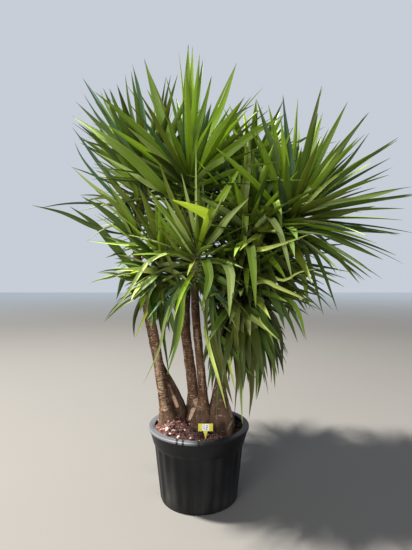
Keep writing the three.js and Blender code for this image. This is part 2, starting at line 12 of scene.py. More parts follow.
import bpy
import numpy as np
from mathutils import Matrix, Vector

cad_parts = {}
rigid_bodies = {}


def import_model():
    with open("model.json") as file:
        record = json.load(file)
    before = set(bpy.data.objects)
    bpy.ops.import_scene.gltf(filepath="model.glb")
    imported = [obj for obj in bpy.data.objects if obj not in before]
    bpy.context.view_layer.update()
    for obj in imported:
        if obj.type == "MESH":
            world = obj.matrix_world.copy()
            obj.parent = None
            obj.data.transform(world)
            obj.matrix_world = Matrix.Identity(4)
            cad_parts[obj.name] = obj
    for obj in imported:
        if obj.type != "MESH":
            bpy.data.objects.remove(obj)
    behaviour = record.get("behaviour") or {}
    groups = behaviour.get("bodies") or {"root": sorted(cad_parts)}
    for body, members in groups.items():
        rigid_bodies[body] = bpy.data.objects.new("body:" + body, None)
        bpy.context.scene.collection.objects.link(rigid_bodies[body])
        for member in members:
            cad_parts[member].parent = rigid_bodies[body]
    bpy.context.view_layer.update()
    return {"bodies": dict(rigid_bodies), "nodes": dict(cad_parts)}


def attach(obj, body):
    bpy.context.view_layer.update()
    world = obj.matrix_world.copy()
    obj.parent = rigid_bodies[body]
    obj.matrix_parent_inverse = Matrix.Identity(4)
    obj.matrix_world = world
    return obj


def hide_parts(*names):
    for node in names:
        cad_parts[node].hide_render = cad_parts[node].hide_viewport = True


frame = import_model()
BODY = list(frame["bodies"])[0]

# %% [markdown]
# ## The camera
#
# The photograph was taken at eye height in front of the pot with the camera held level, so it looks straight
# along +Y with no tilt. A focal length is easiest to carry over as a number of pixels: the picture is 550
# pixels tall, and an object 1 m tall at 1 m away covers 400 of them. Blender wants that as a lens in
# millimetres for a sensor 36 mm long. Two functions go between the picture and the scene, because the worn
# places of the bark and the leaves that stand out are given below by the pixels where they are seen.

# %% Camera
PHOTO = {"wide": 412, "tall": 550, "focal": 400}
EYE = Vector((0.046, -2.62, 1.43))
SENSOR = 36
FARTHEST = 60

view = bpy.data.cameras.new("photo_view")
view.sensor_width = SENSOR
view.lens = SENSOR * PHOTO["focal"] / PHOTO["tall"]
view.clip_end = FARTHEST
camera = bpy.data.objects.new("photo_view", view)
camera.location = EYE
camera.rotation_euler = (math.radians(90), 0, 0)
bpy.context.collection.objects.link(camera)
bpy.context.scene.camera = camera


def seen(x, y, depth):
    """The point that shows at pixel x, y of the photograph, on the upright plane at Y = depth."""
    away = (depth - EYE.y) / PHOTO["focal"]
    return np.array([EYE.x + (x - PHOTO["wide"] / 2) * away, depth, EYE.z - (y - PHOTO["tall"] / 2) * away])


def pixels_of(points):
    """Where points are seen in the photograph, as pixels to the right and down."""
    away = PHOTO["focal"] / (points[:, 1] - EYE.y)
    right = PHOTO["wide"] / 2 + (points[:, 0] - EYE.x) * away
    return right, PHOTO["tall"] / 2 - (points[:, 2] - EYE.z) * away


print("lens", round(view.lens, 2), "mm")

# %% [markdown]
# ## Shader maths written as sums
#
# Most finishes below are a colour that changes with a mask. Wiring each Math node by hand hides the idea,
# so one small class wraps a socket and lets plain Python sums add the nodes. Numbers go through Math nodes.
# Colours go through Mix and Vector Math, because a Math node would turn them grey.


# %% A socket that can be added and multiplied
class Wire:
    """A socket of a material's node tree, with arithmetic."""

    def __init__(self, finish, socket):
        self.finish = finish
        self.socket = socket

    def maths(self, operation, one, two):
        """A Math node with this operation."""
        return self.finish.node("ShaderNodeMath", {"operation": operation}, {0: one, 1: two})

    def __add__(self, other):
        return self.maths("ADD", self, other)

    def __radd__(self, other):
        return self.maths("ADD", other, self)

    def __sub__(self, other):
        return self.maths("SUBTRACT", self, other)

    def __rsub__(self, other):
        return self.maths("SUBTRACT", other, self)

    def __mul__(self, other):
        return self.maths("MULTIPLY", self, other)

    def __rmul__(self, other):
        return self.maths("MULTIPLY", other, self)

    def size(self):
        """The number without its sign."""
        return self.maths("ABSOLUTE", self, 0)

    def ramp(self, low, high):
        """0 below low and 1 above high, smooth between them. With low over high it falls instead."""
        settings = {"interpolation_type": "SMOOTHSTEP"}
        if low > high:
            return 1 - self.ramp(high, low)
        return self.finish.node(
            "ShaderNodeMapRange", settings, {"Value": self, "From Min": low, "From Max": high}
        )


print("a sum of wires adds its nodes by itself")

# %% [markdown]
# The other class is the material. All its nodes come from one method, which takes a node's type, its
# settings, and the values or wires of its sockets. The rest are the few nodes that the finishes use again
# and again. Blender joins them to the one Principled shader that a new material starts with.


# %% A material that makes its own nodes
class Finish:
    """A material with one Principled shader, and the nodes that feed it."""

    def __init__(self, name, **constants):
        self.material = bpy.data.materials.new(name)
        self.material.use_nodes = True
        self.tree = self.material.node_tree
        self.shader = self.tree.nodes["Principled BSDF"]
        for socket, value in constants.items():
            self.shader.inputs[socket.replace("_", " ")].default_value = value

    def node(self, kind, settings=None, inputs=None, out=0):
        """Adds a node: its settings first, then the values or wires of its sockets."""
        made = self.tree.nodes.new(kind)
        for key, value in (settings or {}).items():
            setattr(made, key, value)
        for key, value in (inputs or {}).items():
            if isinstance(value, Wire):
                self.tree.links.new(value.socket, made.inputs[key])
            else:
                made.inputs[key].default_value = value
        return Wire(self, made.outputs[out])

    def mix(self, mask, colour, other):
        """colour where the mask is 0 and other where it is 1."""
        named = {0: mask, 6: self.full(colour), 7: self.full(other)}
        return self.node("ShaderNodeMix", {"data_type": "RGBA"}, named, out=2)

    def full(self, colour):
        """A colour as a Mix node takes it: a wire, or four numbers."""
        return colour if isinstance(colour, Wire) else (*colour, 1)

    def shade(self, colour, factor):
        """A colour made lighter or darker by a factor that may change over the surface."""
        return self.node("ShaderNodeVectorMath", {"operation": "SCALE"}, {0: colour, "Scale": factor})

    def place(self):
        """Where a point of the object is, in metres."""
        return self.node("ShaderNodeTexCoord", out=3)

    def stretched(self, x, y, z):
        """Places scaled by x, y and z, so that a pattern is drawn out along the smaller ones."""
        scaled = {"Vector": self.place(), "Scale": (x, y, z)}
        return self.node("ShaderNodeMapping", {"vector_type": "POINT"}, scaled)

    def noise(self, scale, detail=3.0, where=None):
        """Cloudy noise from 0 to 1."""
        inputs = {"Scale": scale, "Detail": detail, "Roughness": 0.55, "Vector": where or self.place()}
        return self.node("ShaderNodeTexNoise", {}, inputs)

    def cells(self, scale):
        """How far it is to the nearest of many scattered points."""
        return self.node("ShaderNodeTexVoronoi", {}, {"Scale": scale, "Vector": self.place()})

    def value(self, name):
        """A number stored on the mesh under this name."""
        return self.node("ShaderNodeAttribute", {"attribute_name": name}, out=2)

    def paint(self, colour, roughness=None, height=None, bump=0.3, distance=0.001):
        """Links what changes over the surface to the shader."""
        self.tree.links.new(colour.socket, self.shader.inputs["Base Color"])
        if roughness is not None:
            self.tree.links.new(roughness.socket, self.shader.inputs["Roughness"])
        if height is not None:
            inputs = {"Strength": bump, "Distance": distance, "Height": height}
            raised = self.node("ShaderNodeBump", {}, inputs)
            self.tree.links.new(raised.socket, self.shader.inputs["Normal"])
        return self.material


print("finishes are mixed from", Finish.mix.__name__, Finish.shade.__name__, "and", Finish.noise.__name__)

# %% [markdown]
# ## Floor and light
#
# The plant stands in a plain studio. One big soft lamp up on the left and a little behind does what the sun
# does in the photograph: it lights the upper sides of the leaves and leaves the inside of the crown dark.
# A weaker lamp in front keeps the shaded sides readable, and a pale world fills the rest.

# %% Floor, world and lamps
FLOOR = {"size": 60, "near": (0.100, 0.096, 0.091), "far": (0.60, 0.65, 0.70), "fades": (8.0, 34.0)}


def flat_floor():
    """A floor that is painted paler far away, where the lamps don't reach, so that it fades into the world."""
    half = FLOOR["size"] / 2
    corners = [(-half, -half, 0), (half, -half, 0), (half, half, 0), (-half, half, 0)]
    mesh = bpy.data.meshes.new("floor")
    mesh.from_pydata(corners, [], [(0, 1, 2, 3)])
    floor = bpy.data.objects.new("floor", mesh)
    bpy.context.collection.objects.link(floor)
    pale = Finish("floor_paint", Roughness=0.85)
    away = pale.node("ShaderNodeVectorMath", {"operation": "LENGTH"}, {0: pale.place()}, out=1)
    # Painted light: the colour turns pale with distance, standing in for lamp light.
    tone = pale.mix(away.ramp(*FLOOR["fades"]), FLOOR["near"], FLOOR["far"])
    mesh.materials.append(pale.paint(pale.shade(tone, 0.97 + 0.06 * pale.noise(0.8))))
    return floor


def soft_lamp(name, place, target, size, power, colour):
    """A round lamp that shines at a target, its size in metres and its power in watts."""
    lamp = bpy.data.lights.new(name, "AREA")
    lamp.shape = "DISK"
    lamp.size = size
    lamp.energy = power
    lamp.color = colour
    made = bpy.data.objects.new(name, lamp)
    made.location = place
    made.rotation_euler = (Vector(target) - Vector(place)).to_track_quat("-Z", "Y").to_euler()
    bpy.context.collection.objects.link(made)


flat_floor()
soft_lamp(
    "sun_side", place=(-5.6, -0.4, 13.6), target=(0, 0, 1.6), size=1.2, power=10500, colour=(1.0, 0.96, 0.88)
)
soft_lamp(
    "front_fill", place=(-2.4, -5.2, 3.4), target=(0, 0, 1.3), size=3.0, power=280, colour=(1.0, 0.98, 0.94)
)

SKY = {"colour": (0.76, 0.82, 0.91, 1), "strength": 0.75}
world = bpy.data.worlds.new("studio")
world.use_nodes = True
background = world.node_tree.nodes["Background"]
background.inputs["Color"].default_value = SKY["colour"]
background.inputs["Strength"].default_value = SKY["strength"]
bpy.context.scene.world = world
bpy.context.scene.view_settings.view_transform = "Standard"
print("two lamps, and a world of strength", SKY["strength"])

# %% [markdown]
# ## From numbers to a piece
#
# Every piece of the plant is worked out as arrays of points and faces, because thousands of leaves are far
# quicker to make that way than with editing tools. One function turns such arrays into an object, stores any
# numbers that its material reads, and lets it ride on the plant's body.


# %% Making a piece
def piece(name, points, faces, materials, which=None, numbers=None, sharp=40, replaced=()):
    """An object from points and faces. which gives each face's material, and numbers are stored on points."""
    mesh = bpy.data.meshes.new(name)
    mesh.from_pydata(np.asarray(points).tolist(), [], [tuple(face) for face in faces])
    for material in materials:
        mesh.materials.append(material)
    if which is not None:
        mesh.polygons.foreach_set("material_index", np.asarray(which, dtype=np.int32))
    for key, values in (numbers or {}).items():
        stored = mesh.attributes.new(key, "FLOAT", "POINT")
        stored.data.foreach_set("value", np.asarray(values, dtype=np.float32))
    mesh.shade_smooth()
    mesh.set_sharp_from_angle(angle=math.radians(sharp))
    mesh.validate()
    made = bpy.data.objects.new(name, mesh)
    bpy.context.collection.objects.link(made)
    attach(made, BODY)
    if replaced:
        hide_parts(*replaced)
    print(name, len(mesh.polygons), "faces")
    return made


def grid_faces(rows, count):
    """Faces between rings of points, each ring closed on itself."""
    at = np.arange(rows * count).reshape(rows, count)
    beside = np.roll(at, -1, axis=1)
    return np.stack([at[:-1], beside[:-1], beside[1:], at[1:]], axis=-1).reshape(-1, 4)


print("four rings of six points make", len(grid_faces(4, 6)), "faces")

# %% [markdown]
# Chance has to repeat, or the plant would change with every run. A small generator gives a stream of
# numbers. Noise for the soil and the bark is read smoothly from a table of random values, and closes on
# itself round a turn, so that a cane has no seam.


# %% Chance, shares and noise
def seeded(seed):
    """A repeatable stream of numbers from 0 to 1."""
    state = seed % 2**32
    while True:
        state = (state * 1664525 + 1013904223) % 2**32
        yield state / 2**32


def between(low, high, share):
    """A value this share of the way from low to high."""
    return low + (high - low) * share


def unit(vectors):
    """Vectors made one long."""
    return vectors / np.linalg.norm(vectors, axis=-1, keepdims=True)


def smooth(share):
    """Turns an even run from 0 to 1 into one that starts and ends gently."""
    share = np.clip(share, 0, 1)
    return share * share * (3 - 2 * share)


NOISE_LENGTH = 512


def wrapped_noise(turn, along, cells, seed):
    """Smooth noise from -1 to 1 over a turn from 0 to 1, which closes on itself, and a length in cells."""
    table = np.random.RandomState(seed).uniform(-1, 1, (cells, NOISE_LENGTH))
    x = turn * cells
    i = np.floor(x).astype(int)
    j = np.floor(along).astype(int)
    u = smooth(x - i)
    v = smooth(along - j)

    def at(a, b):
        return table[a % cells, b % NOISE_LENGTH]

    near = at(i, j) * (1 - u) + at(i + 1, j) * u
    far = at(i, j + 1) * (1 - u) + at(i + 1, j + 1) * u
    return near * (1 - v) + far * v


print("noise at one place:", round(float(wrapped_noise(np.array([0.3]), np.array([2.7]), 9, 1)[0]), 3))

# %% [markdown]
# ## The pot
#
# A big nursery pot is moulded from black plastic: one thin wall with a flat rim on a bead, a plain band that
# widens up to it, a small ledge, and broad shallow flutes that stiffen the side. It could be a Screw modifier
# on a drawn profile, but the flutes fade in and out with height, so the profile is turned in code and each of
# its points says how deep the flutes are there. Corners are rounded first: moulded plastic has no sharp edge.

# %% Pot finish
POT = {
    "sides": 288,
    "flutes": 24,
    "flute_depth": 0.0045,
    "wall": 0.005,
    "floor": 0.006,
    "foot": 0.243,
    "corner": 0.250,
    "corner_height": 0.010,
    "flute_foot": 0.256,
    "flute_low": 0.060,
    "flute_top": 0.288,
    "flute_high": 0.345,
    "ledge": 0.297,
    "ledge_height": 0.365,
    "collar": 0.319,
    "collar_height": 0.443,
    "rim": 0.326,
    "rim_height": 0.463,
    "rim_round": 0.004,
    "rim_width": 0.040,
    "lip": 0.002,
    "centre": 0.001,
    # Painted leaf shadows that break the rim's painted highlight, as distances across the pot.
    "rim_leaf_shadows": (-0.124, -0.088, 0.004),
}


def pot_plastic():
    """Satin black plastic: dust low and in the flutes, fine scuffs, painted sunlight low at the left and on
    the rim.
    """
    plastic = Finish("pot_plastic", IOR=1.48, Specular_IOR_Level=0.20)
    height = plastic.node("ShaderNodeSeparateXYZ", {}, {0: plastic.place()}, out=2)
    across = plastic.node("ShaderNodeSeparateXYZ", {}, {0: plastic.place()}, out=0)
    streak = plastic.noise(14, 5, plastic.stretched(1, 1, 0.10))
    patch = plastic.noise(4.5, 4)
    groove = plastic.value("groove")
    low = height.ramp(0.20, 0.01)
    # Painted sunlight: the lower left side, which faces the lamp, is lightened with the dust colour.
    sunlit_left = across.ramp(-0.02, -0.20)
    side = sunlit_left * height.ramp(0.36, 0.20) * (0.30 + 0.9 * low)
    # dust is real dust low down and in the flutes plus that painted sunlight, and dusty carries both.
    dust = (low * 0.6 + groove * 0.06 + side) * streak.ramp(0.35, 0.7) * patch.ramp(0.3, 0.65)
    scuff = plastic.noise(120, 4, plastic.stretched(1, 1, 0.05)).ramp(0.62, 0.78)
    black = plastic.mix(patch.ramp(0.35, 0.7), (0.0040, 0.0043, 0.0051), (0.0078, 0.0083, 0.0096))
    dusty = plastic.mix(dust * 0.6, black, (0.060, 0.056, 0.050))
    # Painted highlight: the rim is made pale at the left, where light falls, except in the painted leaf
    # shadows. From here dusty carries it too.
    top = height.ramp(POT["rim_height"] - 0.0020, POT["rim_height"] - 0.0006)
    bead = height.ramp(POT["collar_height"] + 0.002, POT["collar_height"] + 0.006)
    rim_painted_highlight = plastic.mix(top, (0.120, 0.124, 0.134), (0.062, 0.065, 0.071))
    rim_highlight_mask = across.ramp(0.05, -0.09) * patch.ramp(0.30, 0.46)
    for gap in POT["rim_leaf_shadows"]:
        rim_highlight_mask = rim_highlight_mask * (across - gap).size().ramp(0.004, 0.009)
    dusty = plastic.mix(bead * rim_highlight_mask, dusty, rim_painted_highlight)
    worn_and_sunlit = plastic.mix(scuff * 0.2, dusty, (0.040, 0.041, 0.043))
    roughness = 0.34 + 0.14 * patch + 0.4 * dust + 0.08 * scuff
    fine = plastic.noise(420, 2)
    return plastic.paint(worn_and_sunlit, roughness, fine * 0.5 + streak * 0.5, bump=0.25, distance=0.0008)


print("pot", 2 * POT["rim"], "m across its rim and", POT["rim_height"], "m tall")

# %% [markdown]
# The profile is a list of corners, from the middle of the underside out, up over the rim and down the inside
# to the floor. Each corner also says how deep the flutes are there, and how much of it is rounded off.

# %% Pot shape
ROUND_STEPS = 4
SIDE_STEPS = 10


def rounded(profile):
    """A profile with its corners rounded. Each is a radius, a height, its flutes and how round it is."""
    made = [profile[0][:3]]
    for before, here, after in zip(profile, profile[1:], profile[2:]):
        corner = np.array(here[:3])
        one = np.array(before[:3]) - corner
        two = np.array(after[:3]) - corner
        back = np.linalg.norm(one[:2])
        ahead = np.linalg.norm(two[:2])
        cut = min(here[3], 0.45 * back, 0.45 * ahead)
        if cut == 0:
            made.append(here[:3])
            continue
        start = corner + one * cut / back
        end = corner + two * cut / ahead
        for k in range(ROUND_STEPS + 1):
            t = k / ROUND_STEPS
            made.append(tuple((1 - t) ** 2 * start + 2 * t * (1 - t) * corner + t * t * end))
    made.append(profile[-1][:3])
    return np.array(made)


def turned(profile, sides, flutes, depth):
    """Points, faces and groove depths of a profile turned about the Z axis."""
    turn = 2 * np.pi * np.arange(sides) / sides
    groove = (1 - np.cos(flutes * turn)) / 2
    radius = profile[:, :1] - depth * profile[:, 2:] * groove
    height = np.repeat(profile[:, 1:2], sides, axis=1)
    points = np.stack([radius * np.cos(turn), radius * np.sin(turn), height], axis=-1)
    faces = grid_faces(len(profile), sides).tolist()
    last = (len(profile) - 1) * sides
    faces.append(list(range(sides))[::-1])
    faces.append([last + k for k in range(sides)])
    return points.reshape(-1, 3), faces, (profile[:, 2:] * groove).ravel()


def make_pot():
    """The pot as one closed skin, from the middle of its underside to the middle of its floor."""
    p = POT
    wall = p["wall"]
    bead = p["rim_round"]
    mouth = p["rim"] - p["rim_width"]
    side = [
        (between(p["flute_foot"], p["flute_top"], t), between(p["flute_low"], p["flute_high"], t), 1, 0)
        for t in np.linspace(0, 1, SIDE_STEPS)[1:-1]
    ]
    profile = [
        (p["centre"], 0, 0, 0),
        (p["foot"], 0, 0, 0.004),
        (p["corner"], p["corner_height"], 0, 0.006),
        (p["flute_foot"], p["flute_low"], 1, 0.02),
        *side,
        (p["flute_top"], p["flute_high"], 1, 0.008),
        (p["ledge"], p["ledge_height"], 0, 0.006),
        (p["collar"], p["collar_height"], 0, 0.0012),
        (p["rim"], p["collar_height"] + bead, 0, 0.003),
        (p["rim"], p["rim_height"] - bead, 0, 0.003),
        (p["rim"] - bead, p["rim_height"], 0, 0.003),
        (mouth + p["lip"], p["rim_height"], 0, p["lip"]),
        (mouth, p["rim_height"] - p["lip"], 0, p["lip"]),
        (mouth, p["rim_height"] - wall, 0, 0.001),
        (p["collar"] - wall - p["lip"], p["rim_height"] - 2 * wall, 0, 0.004),
        (p["collar"] - wall, p["collar_height"], 0, 0.004),
        (p["ledge"] - wall, p["ledge_height"], 0, 0.006),
        (p["flute_top"] - wall, p["flute_high"], 1, 0.008),
        (p["flute_foot"] - wall, p["flute_low"], 1, 0.01),
        (p["foot"] - wall, p["floor"] + 0.003, 0, 0.004),
        (p["centre"], p["floor"], 0, 0),
    ]
    points, faces, groove = turned(rounded(profile), p["sides"], p["flutes"], p["flute_depth"])
    stored = {"groove": groove}
    return piece("nursery_pot", points, faces, [pot_plastic()], numbers=stored, replaced=["pot"])


make_pot()

# %% [markdown]
# ## The soil
#
# Old potting soil dries to a crust with crumbs of bark and grit on it. A flat disc with a bump map looks
# painted, so the surface is a real relief, heaped a little towards the left where the canes have pushed it
# up, and loose crumbs are scattered over it as small lumps of their own.

# %% Soil finish
SOIL = {
    "sides": 120,
    "rings": 34,
    "level": 0.433,
    "edge": 0.418,
    "heap": 0.046,
    "rough": 0.0150,
    "radius": 0.3070,
    "gap": 0.001,
    "middle": 0.004,
    "over_floor": 0.004,
    "even_to": 0.75,
}
CLODS = {"per_radius": 9, "shift": 3, "cells": 17, "seed": 3}
GRAIN = {"per_radius": 26, "shift": 9, "cells": 61, "seed": 5}


def soil_crust(name, light):
    """Red-brown peat, damp in places and dusty in others. light makes all its colours lighter or darker."""
    crust = Finish(name, Roughness=0.95)
    damp = crust.noise(7, 4)
    grain = crust.noise(160, 3)
    speck = crust.cells(110)
    dark = (0.030 * light, 0.006 * light, 0.004 * light)
    warm = (0.096 * light, 0.033 * light, 0.023 * light)
    dust = (0.30 * light, 0.205 * light, 0.180 * light)
    brown = crust.mix(damp.ramp(0.42, 0.60), dark, warm)
    dusty = crust.mix(grain.ramp(0.5, 0.70) * damp.ramp(0.46, 0.60) * 0.9, brown, dust)
    # Painted shade: the low pits of the bump are darkened almost to black.
    painted_pit_shade = crust.mix(speck.ramp(0.05, 0.34), (0.014, 0.006, 0.005), dusty)
    return crust.paint(painted_pit_shade, None, grain + speck, bump=0.7, distance=0.003)


def soil_height(x, y):
    """The height of the soil's surface: lower at the wall, heaped on the left, and rough."""
    away = np.hypot(x, y) / SOIL["radius"]
    turn = np.arctan2(y, x) / (2 * np.pi) % 1
    margin = 1 - SOIL["even_to"]
    level = between(SOIL["level"], SOIL["edge"], smooth((away - SOIL["even_to"]) / margin))
    heap = SOIL["heap"] * smooth(-x / 0.2) * smooth((y + 0.30) / 0.22) * smooth((1 - away) / margin)

    def lumps(kind):
        return wrapped_noise(turn, away * kind["per_radius"] + kind["shift"], kind["cells"], kind["seed"])

    return level + heap + SOIL["rough"] * (lumps(CLODS) + 0.5 * lumps(GRAIN))


def make_soil():
    """The soil as one closed body: its rough top, and its side just clear of the inside of the pot."""
    share = np.linspace(SOIL["middle"], 1, SOIL["rings"])[:, None]
    turn = 2 * np.pi * np.arange(SOIL["sides"]) / SOIL["sides"]
    x = SOIL["radius"] * share * np.cos(turn)
    y = SOIL["radius"] * share * np.sin(turn)
    top = np.stack([x, y, soil_height(x, y)], axis=-1)
    wall = POT["wall"] + SOIL["gap"] + POT["flute_depth"]
    depths = [(POT["ledge_height"], POT["ledge"]), (POT["flute_high"], POT["flute_top"])]
    depths += [(POT["flute_low"], POT["flute_foot"]), (POT["floor"] + SOIL["over_floor"], POT["foot"])]
    rings = [
        np.stack([(r - wall) * np.cos(turn), (r - wall) * np.sin(turn), np.full_like(turn, z)], axis=-1)
        for z, r in depths
    ]
    points = np.concatenate([top, np.array(rings)]).reshape(-1, 3)
    rows = SOIL["rings"] + len(rings)
    faces = [face[::-1] for face in grid_faces(rows, SOIL["sides"]).tolist()]
    faces.append(list(range(SOIL["sides"])))
    last = (rows - 1) * SOIL["sides"]
    faces.append([last + k for k in range(SOIL["sides"])][::-1])
    return piece("potting_soil", points, faces, [soil_crust("soil_crust", 0.65)], replaced=["soil"])


make_soil()

# %% [markdown]
# The crumbs are all cut from one lump of twenty faces, each turned, stretched and knocked out of round by its
# own random numbers. Joined into one mesh they cost little and catch the light like grit.

# %% Crumbs
CRUMBS = {
    "count": 3400,
    "seed": 11,
    "out_to": 0.985,
    "smallest": 0.0022,
    "larger": 0.0120,
    "many_large": 4.5,
    "few_large": 7,
    "large_left_of": -0.08,
    "lit_side_left_of": -0.06,
    "pale_share_lit_side": 0.52,
    "pale_share_shaded_side": 0.22,
    "grit": 0.25,
    "proud": 0.35,
}
GOLD = (1 + math.sqrt(5)) / 2
LUMP = unit(
    np.array(
        [(a, b * GOLD, 0) for a in (-1, 1) for b in (-1, 1)]
        + [(0, a, b * GOLD) for a in (-1, 1) for b in (-1, 1)]
        + [(b * GOLD, 0, a) for a in (-1, 1) for b in (-1, 1)],
        dtype=float,
    )
)


def hull_faces(points):
    """The faces of the twenty-sided lump: each three points that lie one edge apart."""
    just_over_an_edge = 1.06
    near = np.linalg.norm(points[:, None] - points[None], axis=-1) < just_over_an_edge
    faces = []
    for i in range(len(points)):
        for j in range(i + 1, len(points)):
            for k in range(j + 1, len(points)):
                if near[i, j] and near[j, k] and near[i, k]:
                    a, b, c = points[i], points[j], points[k]
                    out = np.dot(np.cross(b - a, c - a), a + b + c) > 0
                    faces.append((i, j, k) if out else (i, k, j))
    return np.array(faces)


def turning(rng):
    """A random rotation."""
    matrix, _ = np.linalg.qr(rng.normal(size=(3, 3)))
    return matrix * np.sign(np.linalg.det(matrix))


def make_crumbs():
    """All the crumbs in one mesh: brown, light and pale ones, larger at the left, with more light ones as
    painted sun.
    """
    c = CRUMBS
    rng = np.random.RandomState(c["seed"])
    lump_faces = hull_faces(LUMP)
    points, faces, which = [], [], []
    for k in range(c["count"]):
        away = SOIL["radius"] * c["out_to"] * math.sqrt(rng.uniform(0, 1))
        turn = rng.uniform(0, 2 * math.pi)
        x, y = away * math.cos(turn), away * math.sin(turn)
        rare = c["many_large"] if x < c["large_left_of"] else c["few_large"]
        size = c["smallest"] + c["larger"] * rng.uniform(0, 1) ** rare
        shape = LUMP * rng.uniform(0.75, 1.25, (len(LUMP), 1)) * rng.uniform(0.55, 1.3, 3)
        centre = np.array([x, y, soil_height(np.array(x), np.array(y)) + c["proud"] * size])
        points.append(centre + shape @ turning(rng) * size)
        faces.append(lump_faces + len(LUMP) * k)
        # Painted sunlight: more light crumbs at the lit left, fewer at the right in the crown's shade.
        light = c["pale_share_lit_side"] if x < c["lit_side_left_of"] else c["pale_share_shaded_side"]
        kind = rng.uniform()
        which += [0 if kind > light else 1 if kind > c["grit"] * light else 2] * len(lump_faces)
    grit = Finish("pale_grit", Roughness=0.85)
    grit.paint(grit.shade((0.36, 0.28, 0.245), 0.6 + 0.7 * grit.noise(90)))
    materials = [soil_crust("crumbs_brown", 0.6), soil_crust("crumbs_light", 1.8), grit.material]
    points, faces = np.concatenate(points), np.concatenate(faces)
    return piece("soil_crumbs", points, faces, materials, which, sharp=25)


make_crumbs()

# %% [markdown]
# ## The label
#
# A yellow plastic tag on a pointed stake, with a pale panel to write on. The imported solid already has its
# true shape, a flat plate with a pointed foot, so it stays and only gets its finish. The panel and a plain
# number are thin pieces laid on its face.

# %% Label finish and panel
LABEL = {
    "x": 0.043,
    "y": -0.186,
    "foot": 0.372,
    "thick": 0.002,
    "tilt": -6,
    "panel": [(-0.019, 0.4800), (0.021, 0.5170)],
    "panel_thick": 0.0004,
    "ink_thick": 0.0008,
}
STROKES = [
    [(-0.0105, 0.4860), (-0.0075, 0.5110)],
    [(0.0015, 0.5080), (0.0125, 0.5110)],
    [(0.0095, 0.4985), (0.0125, 0.5080)],
    [(0.0015, 0.4955), (0.0125, 0.4985)],
    [(0.0015, 0.4890), (0.0045, 0.4955)],
    [(0.0015, 0.4860), (0.0125, 0.4890)],
]


def label_plastic():
    """Yellow plastic, a little faded in patches."""
    yellow = Finish("label_plastic", Roughness=0.42)
    fade = yellow.noise(30, 3)
    colour = yellow.mix(fade.ramp(0.35, 0.7), (0.60, 0.53, 0.050), (0.70, 0.63, 0.100))
    return yellow.paint(colour, None, yellow.noise(500, 2), bump=0.1, distance=0.0003)


def on_label(x, z, proud):
    """A point on the label's front face, x from its middle and at height z, standing proud of it."""
    lean = math.radians(LABEL["tilt"])
    foot = np.array([LABEL["x"] + x, LABEL["y"], LABEL["foot"]])
    up = (z - LABEL["foot"]) * np.array([0, -math.sin(lean), math.cos(lean)])
    front = (LABEL["thick"] / 2 + proud) * np.array([0, -math.cos(lean), math.sin(lean)])
    return foot + up + front


def laid_box(corners, thick):
    """Points and faces of a thin panel laid on the label, from its x and z corners."""
    (x0, z0), (x1, z1) = corners
    flat = [(x0, z0), (x1, z0), (x1, z1), (x0, z1)]
    points = [on_label(x, z, 0.0) for x, z in flat] + [on_label(x, z, thick) for x, z in flat]
    faces = [(3, 2, 1, 0), (4, 5, 6, 7)] + [(k, (k + 1) % 4, 4 + (k + 1) % 4, 4 + k) for k in range(4)]
    return np.array(points), faces


def make_label():
    """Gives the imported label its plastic, and lays the panel and the number on it."""
    node = frame["nodes"]["plant_label"]
    node.data.materials.clear()
    node.data.materials.append(label_plastic())
    paper = Finish("label_paper", Roughness=0.6)
    paper.paint(paper.shade((0.84, 0.83, 0.86), 0.92 + 0.1 * paper.noise(60)))
    points, faces = laid_box(LABEL["panel"], LABEL["panel_thick"])
    piece("label_panel", points, faces, [paper.material])
    ink = Finish("label_ink", Roughness=0.5)
    ink.paint(ink.shade((0.10, 0.05, 0.16), 0.8 + 0.5 * ink.noise(80)))
    points, faces = [], []
    for stroke in STROKES:
        more, quads = laid_box(stroke, LABEL["ink_thick"])
        faces += [tuple(8 * len(points) + k for k in quad) for quad in quads]
        points.append(more)
    piece("label_number", np.concatenate(points), faces, [ink.material])


make_label()

# %% [markdown]
# ## The canes
#
# A yucca's cane is not wood like a tree's. It swells at the foot into a wrinkled, grey-brown base, and above
# that it is ringed all the way up by the scars of leaves it has shed, a centimetre or two apart. The lines
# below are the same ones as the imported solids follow, in metres, from the soil to the heart of each head.
# head is the share of the line where the cane enters its head of leaves.

